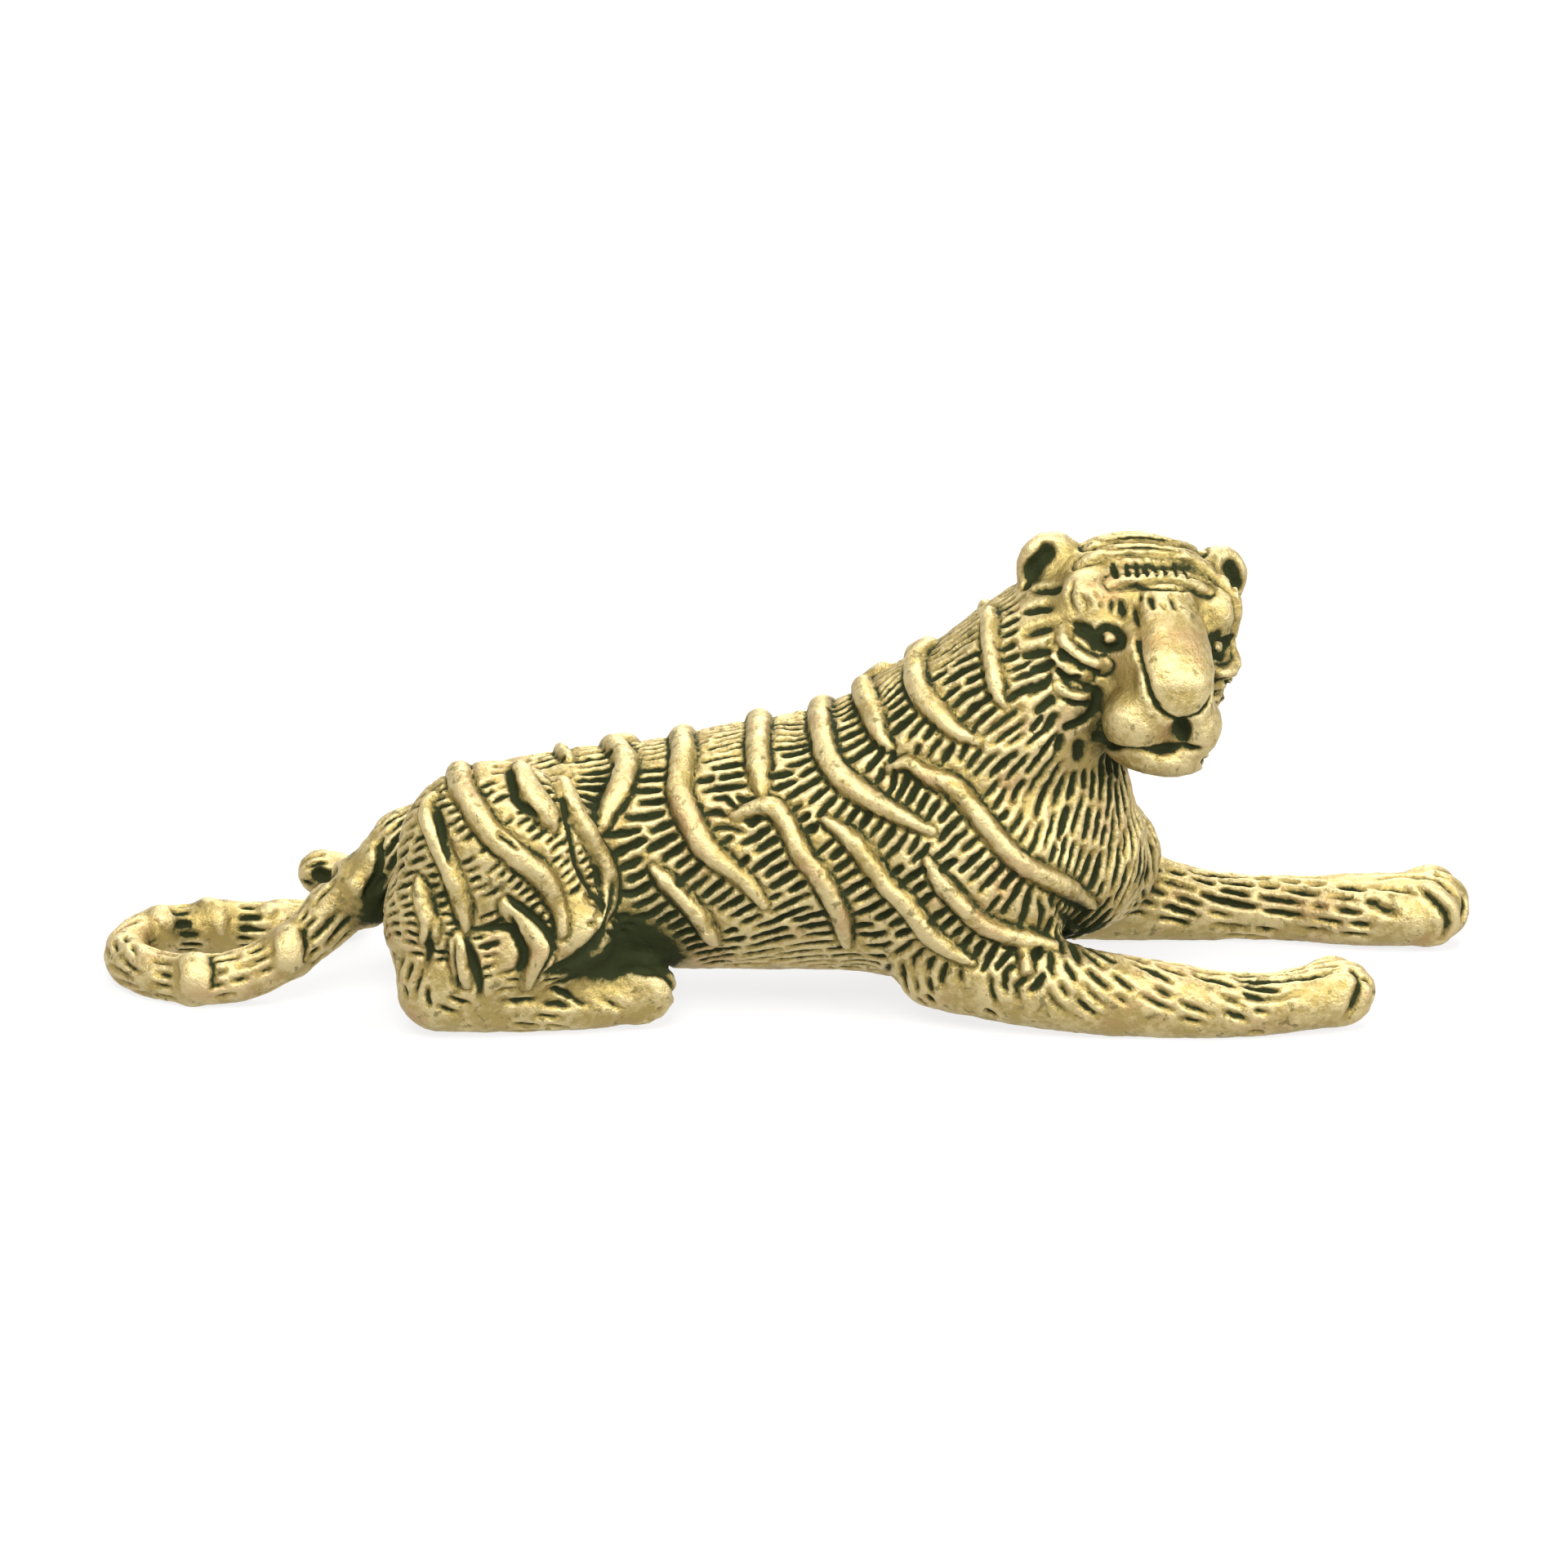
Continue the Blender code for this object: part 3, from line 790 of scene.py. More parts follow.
        strokes: list[Cut] = []
        queue: deque[Vector] = deque()
        for start in rng.permutation(len(skin.places)):
            queue.append(Vector(skin.places[start]))
            while queue:
                seed = queue.popleft()
                place, index, _ = finder.find(seed)
                style = style_at(index)
                if style is None or crowded(seed, self.start_room * style.spacing, -1):
                    continue
                mine = len(strokes)
                total = rng.uniform(style.shortest, style.longest)
                split = rng.uniform(*self.splits)
                back = walk(seed, -1, total * split, mine, style)
                forth = walk(seed, 1, total * (1 - split), mine, style)
                normal = Vector(skin.normals[index])
                path = back[::-1] + [(seed, normal)] + forth
                if len(path) < 3:
                    continue
                drawn = rng.random() < style.share
                depth = style.depth * rng.uniform(*self.depths)
                width = style.half_width * rng.uniform(*self.widths)
                strokes.append(Cut(path, width, depth if drawn else 0.0, tapered=True))
                for place, normal in path:
                    taken[key(place)].append((place, mine))
                for place, normal in path[::2]:
                    _, index, _ = finder.find(place)
                    aside = Vector(directions[index]).cross(normal) * style.spacing
                    queue.append(place + aside)
                    queue.append(place - aside)
        return [stroke for stroke in strokes if stroke.depth]


@dataclass(frozen=True)
class Graver:
    """Cuts the strokes and the grooves beside stripes, and leaves the skin a little uneven."""

    ragged: float = 0.075
    reach: float = 2.1
    groove_depth: float = 0.17
    groove_place: float = 0.15
    groove_spread: float = 0.12
    groove_reach: float = 0.8
    waves: tuple = ((0.05, 0.9), (0.03, 2.4))

    def carve(self, skin: Skin, cuts: list[Cut], stripes: list[tuple[Vector, float]]) -> None:
        """Sinks a skin along its cuts, and along both edges of each stripe.

        Args:
            skin: The skin; its places and its record of how far each sank are changed.
            cuts: The cuts.
            stripes: Places along the stripes, with half the stripe's width.
        """
        finder = skin.finder(self.ragged)
        sink = [0.0] * len(skin.places)
        for cut in cuts:
            scale = 1.0 / cut.half_width ** 2
            for place, depth in cut.samples():
                for _, index, gap in finder.find_range(place, self.reach * cut.half_width):
                    value = depth * math.exp(-gap * gap * scale)
                    if value > sink[index]:
                        sink[index] = value
        edge = np.full(len(skin.places), math.inf)
        for place, half_width in stripes:
            for _, index, gap in finder.find_range(place, half_width + self.groove_reach):
                edge[index] = min(edge[index], gap - half_width)
        beside = np.exp(-((edge - self.groove_place) / self.groove_spread) ** 2)
        skin.sink = np.maximum(np.array(sink), self.groove_depth * beside)
        uneven = np.array([
            sum(height * noise.noise(place * scale) for height, scale in self.waves)
            for place in map(Vector, skin.places)
        ])
        skin.places -= skin.normals * (skin.sink + uneven)[:, None]
        skin.obj.data.vertices.foreach_set("co", skin.places.ravel())
        skin.obj.data.update()


@dataclass
class Body:
    """Trunk, neck and haunches. Stations are x, y, z, half width and half height."""

    trunk: list[Station] = field(default_factory=lambda: [
        (-20.7, 0.0, 8.0, 2.9, 2.9),
        (-18.9, 0.0, 7.9, 5.0, 4.7),
        (-16.0, 0.0, 7.6, 6.0, 5.6),
        (-12.0, 0.0, 7.8, 6.0, 6.2),
        (-7.0, 0.0, 8.1, 6.3, 6.5),
        (-2.0, 0.0, 8.6, 6.9, 7.0),
        (2.0, 0.0, 8.95, 7.3, 7.35),
        (6.0, 0.0, 9.4, 7.4, 8.3),
        (10.0, 0.0, 9.4, 7.2, 7.7),
        (14.8, 0.5, 8.2, 5.4, 5.4),
    ])
    neck: list[Station] = field(default_factory=lambda: [
        (4.6, 0.0, 10.5, 5.8, 5.6),
        (8.6, 0.0, 13.2, 6.4, 6.4),
        (11.8, 0.0, 15.9, 6.2, 5.8),
        (14.6, 0.2, 18.7, 5.6, 5.3),
        (17.0, 0.4, 20.4, 5.2, 4.8),
        (19.0, 0.5, 21.3, 4.6, 4.2),
    ])
    muscles: dict[str, tuple] = field(default_factory=lambda: {
        "breast": ((13.7, 0.0, 10.4), (5.6, 5.4, 7.4), 0.0),
        "near_shoulder": ((9.0, -4.6, 8.6), (6.9, 3.4, 6.7), 0.0),
        "far_shoulder": ((9.0, 4.8, 8.6), (6.6, 3.8, 6.6), 0.0),
        "far_upper_arm": ((15.4, 5.0, 6.1), (5.7, 3.3, 4.7), 0.0),
        "near_thigh": ((-15.8, -5.4, 9.85), (5.8, 3.7, 5.55), 28.0),
        "near_rump": ((-18.1, -5.4, 6.3), (4.3, 3.6, 4.8), 0.0),
        "far_thigh": ((-14.6, 5.0, 6.5), (5.6, 3.9, 4.2), 20.0),
        "far_rump": ((-17.8, 5.2, 4.5), (4.0, 3.6, 3.8), 0.0),
        "near_knee": ((-12.6, -5.0, 3.6), (3.4, 2.6, 2.6), 0.0),
        "far_knee": ((-12.6, 5.0, 3.6), (3.4, 2.6, 2.6), 0.0),
    })
    haunch_cuts: list[tuple] = field(default_factory=lambda: [
        ([(534, 991), (540, 1014), (547, 1041), (553, 1058)], 0.22, 0.4),
        ([(621, 938), (625, 955), (632, 979), (644, 991), (656, 1002)], 0.24, 0.42),
        ([(687, 976), (693, 999), (700, 1023), (704, 1046), (711, 1068), (724, 1088), (737, 1108),
          (740, 1128)], 0.22, 0.42),
        ([(611, 1022), (622, 1028), (634, 1038)], 0.2, 0.4),
        ([(616, 1096), (629, 1104), (647, 1117), (665, 1133), (676, 1152), (678, 1167), (671, 1185),
          (653, 1214)], 0.22, 0.42),
        ([(571, 1149), (578, 1170), (585, 1191), (588, 1226)], 0.22, 0.42),
        ([(556, 1152), (554, 1179), (562, 1217)], 0.2, 0.35),
        ([(530, 1128), (524, 1170), (517, 1190)], 0.3, 0.4),
        ([(624, 1123), (629, 1138), (637, 1155), (640, 1173), (634, 1194)], 0.24, 0.42),
        ([(576, 1145), (600, 1137), (630, 1137)], 0.24, 0.35),
        ([(753, 1080), (750, 1112), (738, 1145), (716, 1168), (690, 1184), (660, 1200)], 0.36, 0.5),
    ])
    chest_cut: tuple = ([(1290, 1100), (1305, 1126), (1328, 1142)], 0.2, 0.25)
    flows: list[tuple] = field(default_factory=lambda: [
        (Coat.BACK, [
            (1230, 735, 1205, 752), (1180, 768, 1150, 785), (1100, 812, 1070, 825),
            (1040, 842, 1010, 858), (980, 872, 950, 882), (900, 888, 870, 892),
            (800, 907, 775, 910), (720, 920, 700, 924),
        ]),
        (Coat.BARE, [
            (640, 934, 600, 938), (580, 941, 560, 950), (1140, 1224, 1200, 1238),
            (1230, 1240, 1290, 1248),
        ]),
        (Coat.BACK, [(515, 975, 495, 1000)]),
        (Coat.CHEST, [
            (1300, 880, 1275, 895), (1270, 830, 1245, 838), (1240, 900, 1215, 915),
            (1290, 930, 1270, 955), (1320, 960, 1308, 1000), (1250, 960, 1238, 985),
            (1290, 1000, 1282, 1030), (1310, 1040, 1302, 1070), (1350, 960, 1345, 1000),
            (1330, 1010, 1325, 1045), (1360, 1060, 1352, 1100), (1378, 975, 1384, 1010),
            (1386, 1040, 1378, 1080), (1275, 1095, 1290, 1125), (1310, 1120, 1340, 1145),
        ]),
        (Coat.BARE, [
            (690, 1110, 694, 1130), (700, 1145, 690, 1165), (655, 1165, 650, 1180),
            (480, 1160, 478, 1185),
        ]),
        (Coat.LEG, [(530, 1215, 560, 1225)]),
    ])

    def add_masses(self, clay: Clay) -> None:
        """Lofts the trunk and neck and presses the muscles on."""
        clay.limb(self.trunk)
        clay.limb(self.neck)
        for centre, radii, turn in self.muscles.values():
            clay.lump(centre, radii, turn=turn)

    def guide_fur(self, skin: Skin, fur: Fur) -> None:
        """Gives the fur its flow over neck and chest, and keeps the underside bare."""
        fur.learn_flows(skin, self.flows, ACROSS_BODY)
        for x in range(-16, 19, 4):
            low, _, _, _ = skin.tree.find_nearest(Vector((x, 0.0, -4.0)))
            fur.sources.append(Source(low, Vector((-1, 0, 0)), Coat.BARE))

    def cuts(self, skin: Skin) -> list[Cut]:
        """The line in front of the shoulder, and the folds of both haunches."""
        return engraved(skin, [self.chest_cut]) + engraved(
            skin, self.haunch_cuts, TO_FAR_HAUNCH, FAR_HAUNCH_STARTS)


@dataclass
class Tail:
    """The tail: a loop on the ground whose tip stands up behind its root."""

    stations: list[Station] = field(default_factory=lambda: [
        (-18.4, 0.0, 7.8, 3.2, 2.8),
        (-21.0, 0.0, 7.2, 2.5, 2.6),
        (-23.0, -0.3, 6.4, 1.9, 2.25),
        (-24.8, -0.7, 5.3, 1.65, 1.9),
        (-26.8, -1.4, 3.5, 1.55, 1.55),
        (-29.8, -2.2, 1.9, 1.55, 1.55),
        (-33.0, -2.25, 1.45, 1.5, 1.5),
        (-36.2, -0.4, 1.4, 1.45, 1.45),
        (-37.1, 2.5, 1.35, 1.35, 1.35),
        (-35.8, 5.1, 1.45, 1.4, 1.45),
        (-32.4, 5.7, 1.5, 1.6, 1.55),
        (-29.0, 5.8, 1.5, 1.6, 1.55),
        (-26.6, 6.6, 1.5, 1.45, 1.5),
        (-24.6, 8.6, 1.9, 1.3, 1.35),
        (-25.0, 10.2, 2.7, 1.4, 1.45),
        (-26.6, 10.4, 3.13, 1.45, 1.5),
    ])
    rings: list[tuple[float, float]] = field(default_factory=lambda: [
        (0.17, 1.2), (0.291, 1.3), (0.398, 1.35), (0.61, 1.1), (0.675, 1.2), (0.745, 1.2),
    ])
    ring_rise: float = 0.1
    bands: list[tuple] = field(default_factory=lambda: [
        ([(446, 1032), (452, 1046), (449, 1064), (441, 1083), (433, 1096)], 0.75),
        ([(349, 1132), (353, 1144), (355, 1158), (355, 1174), (353, 1190)], 0.85),
        ([(232, 1168), (238, 1180), (240, 1200), (240, 1225)], 0.85),
        ([(187, 1114), (197, 1117), (204, 1125), (207, 1139)], 0.62),
        ([(246, 1104), (257, 1108), (264, 1120), (270, 1141)], 0.7),
        ([(323, 1109), (329, 1114), (331, 1122)], 0.55),
    ])
    band_rise: float = 0.33
    cuts_drawn: list[tuple] = field(default_factory=lambda: [
        ([(390, 1070), (398, 1074), (406, 1067)], 0.4, 0.4),
        ([(463, 1034), (466, 1052), (461, 1073), (450, 1094)], 0.2, 0.32),
        ([(372, 1140), (376, 1158), (374, 1176)], 0.18, 0.3),
        ([(258, 1170), (262, 1190), (260, 1210)], 0.16, 0.26),
    ])
    flows: list[tuple] = field(default_factory=lambda: [
        (Coat.FLANK, [(482, 1010, 462, 1036), (472, 1062, 455, 1088)]),
        (Coat.TAIL, [
            (420, 1100, 400, 1125), (380, 1145, 350, 1168), (300, 1190, 260, 1200),
            (220, 1198, 190, 1192), (160, 1170, 152, 1150), (165, 1135, 200, 1126),
            (230, 1125, 300, 1128), (330, 1125, 370, 1122), (400, 1060, 385, 1064),
        ]),
    ])

    def add_masses(self, clay: Clay) -> None:
        """Lofts the tail."""
        clay.limb(self.stations)

    def ring_line(self, place: float) -> tuple[Vector, Vector, float]:
        """Middle, direction and radius of the tail at a share of its length."""
        path = smooth_path(self.stations)
        index = round(place * (len(path) - 1))
        along = Vector(path[index + 1][:3]) - Vector(path[index - 1][:3])
        return Vector(path[index][:3]), along.normalized(), path[index][4]

    def add_details(self, clay: Clay) -> None:
        """Swells the tail where its stripes go round it."""
        for place, half_length in self.rings:
            middle, along, radius = self.ring_line(place)
            turned = along.to_track_quat("X", "Z").to_matrix().to_4x4()
            rise = radius + self.ring_rise
            clay.lump((0, 0, 0), (half_length, rise, rise), Matrix.Translation(middle) @ turned)

    def add_bands(self, clay: Clay, skin: Skin, fur: Fur) -> None:
        """The raised bands that cross the tail on the side that the photograph shows."""
        for pixels, half_width in self.bands:
            line = skin.traced(pixels)
            clay.ridge(line, half_width, self.band_rise)
            fur.bands += fur.keep_clear(line, half_width)

    def guide_fur(self, skin: Skin, fur: Fur) -> None:
        """Runs the fur along the tail and keeps it off the rings."""
        fur.learn_flows(skin, self.flows)
        for place, half_length in self.rings:
            middle, along, radius = self.ring_line(place)
            around = along.orthogonal().normalized()
            for turn in range(0, 360, 4):
                spoke = Matrix.Rotation(math.radians(turn), 4, along) @ around
                near, _, _, _ = skin.tree.find_nearest(middle + spoke * (radius + 0.3))
                fur.bands.append((near, 0.6 * half_length))

    def cuts(self, skin: Skin) -> list[Cut]:
        """The hollow of the tail's tip, and the dark edges of its bands."""
        return engraved(skin, self.cuts_drawn, tapered=False)


@dataclass
class Legs:
    """Forelegs stretched out and hind legs folded under the haunches, with their paws."""

    near_foreleg: list[Station] = field(default_factory=lambda: [
        (8.0, -5.0, 3.75, 2.2, 2.9),
        (12.0, -5.9, 3.2, 2.4, 2.8),
        (16.0, -6.5, 2.5, 2.3, 2.5),
        (20.0, -6.8, 2.1, 2.1, 2.25),
        (24.0, -6.9, 1.8, 1.95, 1.95),
        (27.2, -6.5, 1.75, 1.95, 1.8),
        (30.0, -5.7, 1.95, 2.2, 1.85),
    ])
    far_foreleg: list[Station] = field(default_factory=lambda: [
        (9.6, 6.4, 5.0, 2.4, 3.4),
        (14.0, 7.2, 4.0, 2.6, 3.5),
        (18.0, 7.7, 3.1, 2.4, 3.1),
        (23.0, 8.1, 2.05, 2.0, 2.15),
        (28.0, 8.0, 1.85, 1.9, 1.9),
        (32.0, 7.5, 1.95, 2.6, 2.0),
        (35.5, 7.15, 2.1, 2.75, 2.05),
    ])
    shank: list[Station] = field(default_factory=lambda: [
        (-11.6, 6.8, 6.5, 2.2, 2.6),
        (-15.0, 6.9, 4.7, 2.3, 2.6),
        (-19.1, 6.6, 3.2, 2.5, 2.9),
    ])
    hind_foot: list[Station] = field(default_factory=lambda: [
        (-19.2, 6.4, 2.5, 2.6, 2.45),
        (-15.0, 6.2, 1.7, 2.2, 1.7),
        (-11.0, 5.8, 1.65, 2.1, 1.65),
        (-8.8, 5.3, 1.95, 2.2, 1.8),
    ])
    paws: dict[str, tuple] = field(default_factory=lambda: {
        "near_fore": ((31.0, -5.3, 2.05), 0.95, 1.68, 14.0),
        "far_fore": ((37.1, 7.2, 2.25), 1.1, 2.0, -4.0),
        "near_hind": ((-7.6, -5.0, 2.1), 0.95, 1.8, 12.0),
        "far_hind": ((-7.6, 5.0, 2.1), 0.95, 1.8, -12.0),
    })
    toe_places: tuple = ((-1.5, -0.5), (-0.5, 0.0), (0.5, 0.0), (1.5, -0.5))
    toe_length: float = 2.0
    toe_width: float = 0.66
    toe_setback: float = 0.45
    toe_fan: float = 5.0
    forefoot_cuts: list[tuple] = field(default_factory=lambda: [
        ([(1657, 1186), (1664, 1205), (1660, 1225), (1652, 1243)], 0.26, 0.42),
        ([(1510, 1207), (1555, 1200), (1610, 1195), (1645, 1183)], 0.2, 0.3),
        ([(1505, 1195), (1560, 1192), (1600, 1184), (1620, 1178)], 0.18, 0.25),
        ([(1512, 1222), (1560, 1224), (1596, 1214)], 0.2, 0.25),
        ([(1735, 1085), (1765, 1110), (1775, 1130), (1765, 1150)], 0.24, 0.4),
        ([(1760, 1070), (1785, 1085), (1795, 1110), (1790, 1125)], 0.22, 0.35),
        ([(1685, 1075), (1725, 1070), (1755, 1076), (1780, 1095)], 0.18, 0.28),
        ([(1675, 1085), (1715, 1087), (1740, 1095)], 0.18, 0.25),
        ([(1680, 1105), (1710, 1120)], 0.3, 0.35),
    ])
    hind_foot_cuts: list[tuple] = field(default_factory=lambda: [
        ([(780, 1191), (809, 1195), (824, 1207), (826, 1224)], 0.22, 0.35),
        ([(788, 1180), (817, 1182), (832, 1199)], 0.2, 0.3),
        ([(692, 1216), (717, 1232)], 0.18, 0.25),
        ([(734, 1222), (763, 1237)], 0.18, 0.25),
    ])
    flows: list[tuple] = field(default_factory=lambda: [
        (Coat.LEG, [
            (1130, 1195, 1133, 1220), (1180, 1200, 1184, 1225), (1225, 1205, 1235, 1230),
            (1290, 1190, 1305, 1215), (1345, 1180, 1375, 1205), (1400, 1200, 1435, 1222),
            (1440, 1186, 1480, 1206), (1500, 1208, 1530, 1226),
        ]),
        (Coat.BARE, [
            (1200, 1250, 1260, 1257), (1350, 1255, 1450, 1261), (1560, 1232, 1620, 1228),
            (1640, 1220, 1675, 1215),
        ]),
        (Coat.CHEST, [(1440, 1068, 1490, 1090), (1500, 1082, 1560, 1094)]),
        (Coat.LEG, [(1560, 1080, 1620, 1090), (1620, 1105, 1660, 1112), (1480, 1130, 1560, 1138)]),
        (Coat.BARE, [(1700, 1130, 1750, 1135), (1720, 1085, 1770, 1095)]),
        (Coat.LEG, [(520, 1200, 512, 1225)]),
        (Coat.BARE, [(500, 1235, 520, 1252), (560, 1252, 620, 1254)]),
        (Coat.LEG, [(620, 1228, 680, 1226)]),
        (Coat.BARE, [(720, 1240, 780, 1235), (760, 1205, 810, 1210)]),
    ])

    def add_masses(self, clay: Clay) -> None:
        """Lofts the legs; the hind ones are given for the far side and mirrored."""
        clay.limb(self.near_foreleg)
        clay.limb(self.far_foreleg)
        for limb in (self.shank, self.hind_foot):
            clay.limb(limb)
            clay.limb([(x, -y, *rest) for x, y, *rest in limb])

    def add_details(self, clay: Clay) -> None:
        """Four toes on each paw, the middle two a little ahead."""
        for centre, spread, height, heading in self.paws.values():
            facing = Matrix.Translation(centre) @ Matrix.Rotation(math.radians(heading), 4, "Z")
            radii = (self.toe_length, spread * self.toe_width, height)
            for place, ahead in self.toe_places:
                toe = facing @ Vector((ahead, place * spread, 0.0))
                turn = Matrix.Rotation(math.radians(heading + self.toe_fan * place), 4, "Z")
                clay.lump((-self.toe_setback, 0, 0), radii, Matrix.Translation(toe) @ turn)

    def guide_fur(self, skin: Skin, fur: Fur) -> None:
        """Short slanting strokes on the legs, and bare paws and soles."""
        fur.learn_flows(skin, self.flows, ACROSS_BODY)
        for centre, _, _, heading in self.paws.values():
            near, _, _, _ = skin.tree.find_nearest(Vector(centre) + Vector((0.6, 0, 2)))
            turned = Matrix.Rotation(math.radians(heading), 4, "Z") @ Vector((1, 0, 0))
            fur.sources.append(Source(near, turned, Coat.BARE))
        for limb in (self.near_foreleg, self.far_foreleg):
            for x, y, *_ in limb[2:]:
                low, _, _, _ = skin.tree.find_nearest(Vector((x, y, -3.0)))
                fur.sources.append(Source(low, Vector((1, 0, 0)), Coat.BARE))

    def cuts(self, skin: Skin) -> list[Cut]:
        """The lines between the toes and along the tops of the paws."""
        made = [Cut(skin.calmed(pixels, 10), half_width, depth, tapered=True)
                for pixels, half_width, depth in self.forefoot_cuts + self.hind_foot_cuts]
        for pixels, half_width, depth in self.hind_foot_cuts:
            far = skin.reflected(skin.traced(pixels), ACROSS_BODY)
            made.append(Cut(far, half_width, depth, tapered=True))
        return made


@dataclass
class Head:
    """The head, in its own frame: X to the nose, Y to its left ear, Z to the crown."""

    middle: tuple[float, float, float] = (19.4, 0.5, 22.3)
    turn: float = 17.5
    roll: float = 10.5
    masses: dict[str, tuple] = field(default_factory=lambda: {
        "skull": ((-0.6, 0.0, 0.1), (4.6, 5.2, 4.0)),
        "cheek": ((0.6, 3.1, -2.7), (3.3, 2.6, 3.7)),
        "muzzle": ((4.8, 0.0, -3.6), (3.1, 2.6, 2.7)),
        "nose_side": ((4.3, 1.4, -1.4), (2.2, 1.5, 2.1)),
    })
    features: dict[str, tuple] = field(default_factory=lambda: {
        "nose_ball": ((7.0, 0.0, -2.75), (1.65, 2.3, 1.75)),
        "under_eye": ((3.0, 3.7, -2.0), (1.2, 1.3, 0.7)),
        "ear": ((-2.0, 4.95, 1.45), (1.1, 1.95, 2.05)),
    })
    one_sided: dict[str, tuple] = field(default_factory=lambda: {
        "near_brow": ((1.5, -3.8, 0.7), (1.65, 1.75, 1.75)),
        "far_brow": ((1.9, 3.4, 0.7), (1.7, 1.4, 1.9)),
        "far_temple": ((1.2, 4.3, -0.9), (1.8, 1.05, 2.1)),
        "chin": ((5.0, 0.45, -6.5), (2.8, 3.05, 1.25)),
        "near_pad": ((6.15, -1.45, -4.55), (1.95, 2.0, 1.95)),
        "far_pad": ((6.2, 1.62, -4.5), (2.0, 1.75, 2.0)),
    })
    eye: tuple = ((3.75, 3.1, -0.65), (0.95, 0.62, 0.6))
    nose: list[Station] = field(default_factory=lambda: [
        (2.8, 0.0, 1.9, 1.6, 1.0),
        (4.8, 0.0, 0.5, 1.9, 1.3),
        (6.5, 0.0, -1.1, 2.2, 1.5),
        (7.0, 0.0, -1.9, 2.3, 1.6),
    ])
    forehead_ridges: list[tuple] = field(default_factory=lambda: [
        ([(1330, 669), (1362, 665), (1394, 664), (1446, 667), (1470, 675)], 0.26, 0.32),
        ([(1322, 690), (1352, 679), (1394, 677), (1448, 680), (1475, 692), (1496, 716),
          (1511, 749), (1514, 775)], 0.4, 0.5),
        ([(1362, 712), (1410, 710), (1459, 713), (1478, 722)], 0.38, 0.36),
    ])
    eye_folds: list[tuple] = field(default_factory=lambda: [
        ([(1302, 772), (1304, 788), (1320, 804), (1336, 812), (1350, 815)], 0.46, 0.4),
        ([(1288, 796), (1292, 810), (1309, 820), (1330, 829)], 0.36, 0.4),
        ([(1298, 843), (1312, 851), (1332, 854)], 0.3, 0.25),
    ])
    own_cuts: list[tuple] = field(default_factory=lambda: [
        ([(1447, 886), (1447, 907)], 0.42, 0.7),
        ([(1364, 916), (1386, 920), (1403, 920), (1420, 918), (1438, 915),
          (1454, 916)], 0.24, 0.46),
        ([(1446, 915), (1458, 918), (1470, 919)], 0.24, 0.46),
        ([(1313, 713), (1310, 733), (1317, 752)], 0.15, 0.26),
        ([(1326, 731), (1331, 741), (1329, 750)], 0.14, 0.24),
        ([(1341, 726), (1345, 733)], 0.13, 0.2),
        ([(1357, 691), (1400, 691), (1452, 693), (1466, 699)], 0.36, 0.34),
        ([(1362, 688), (1366, 704)], 0.22, 0.5),
        *[([(across, 687), (across + 2, 704)], 0.14, 0.52)
          for across in (1379, 1391, 1403, 1415, 1427, 1440)],
        ([(1452, 693), (1455, 706)], 0.13, 0.42),
        ([(1376, 719), (1420, 720), (1458, 722)], 0.16, 0.32),
        ([(1342, 661), (1370, 658), (1400, 657), (1445, 661)], 0.18, 0.3),
        ([(1345, 671), (1400, 670), (1430, 672), (1454, 678)], 0.2, 0.34),
        ([(1333, 732), (1336, 743)], 0.13, 0.18),
        ([(1347, 739), (1350, 745)], 0.13, 0.15),
        ([(1361, 737), (1361, 749)], 0.15, 0.26),
        ([(1373, 739), (1374, 752)], 0.22, 0.34),
        ([(1395, 728), (1396, 735)], 0.15, 0.22),
        ([(1388, 747), (1393, 768)], 0.15, 0.28),
        ([(1406, 729), (1412, 745)], 0.2, 0.34),
        ([(1420, 737), (1427, 746)], 0.15, 0.2),
        ([(1435, 732), (1440, 745)], 0.2, 0.28),
        ([(1459, 743), (1468, 752)], 0.15, 0.22),
        ([(1514, 687), (1511, 703), (1513, 720)], 0.3, 0.6),
    ])
    paired_cuts: list[tuple] = field(default_factory=lambda: [
        ([(1392, 786), (1396, 812), (1402, 832), (1406, 848), (1415, 864), (1427, 877),
          (1443, 885)], 0.2, 0.4),
        ([(1353, 910), (1362, 915), (1372, 918)], 0.24, 0.55),
        ([(1344, 905), (1355, 906)], 0.26, 0.36),
        ([(1322, 914), (1323, 926)], 0.34, 0.4),
        ([(1299, 799), (1318, 813), (1343, 824)], 0.17, 0.26),
        ([(1296, 823), (1308, 832), (1319, 831)], 0.2, 0.4),
        ([(1330, 841), (1343, 845)], 0.16, 0.3),
        ([(1311, 861), (1331, 862)], 0.16, 0.3),
        ([(1343, 846), (1342, 861), (1334, 877), (1321, 885), (1307, 891)], 0.24, 0.42),
        ([(1261, 700), (1272, 689), (1284, 676)], 0.5, 0.75),
        ([(1260, 706), (1257, 718)], 0.25, 0.35),
        ([(1318, 765), (1334, 770), (1346, 781)], 0.24, 0.42),
        ([(1322, 769), (1333, 778), (1342, 788)], 0.36, 0.52),
    ])
    eye_ring: tuple = ((1357, 781), 15.5, 0.24, 0.55)
    eye_openness: float = 0.9
    ruff_size: tuple = (0.3, 0.5)
    ruff_cuts: list[list[Pixel]] = field(default_factory=lambda: [
        [(1270, 722), (1297, 720)], [(1253, 748), (1287, 743)], [(1257, 776), (1287, 767)],
        [(1253, 802), (1283, 797)], [(1262, 822), (1288, 813)], [(1260, 847), (1287, 834)],
        [(1270, 873), (1289, 856)], [(1280, 897), (1292, 878)], [(1297, 920), (1300, 903)],
    ])
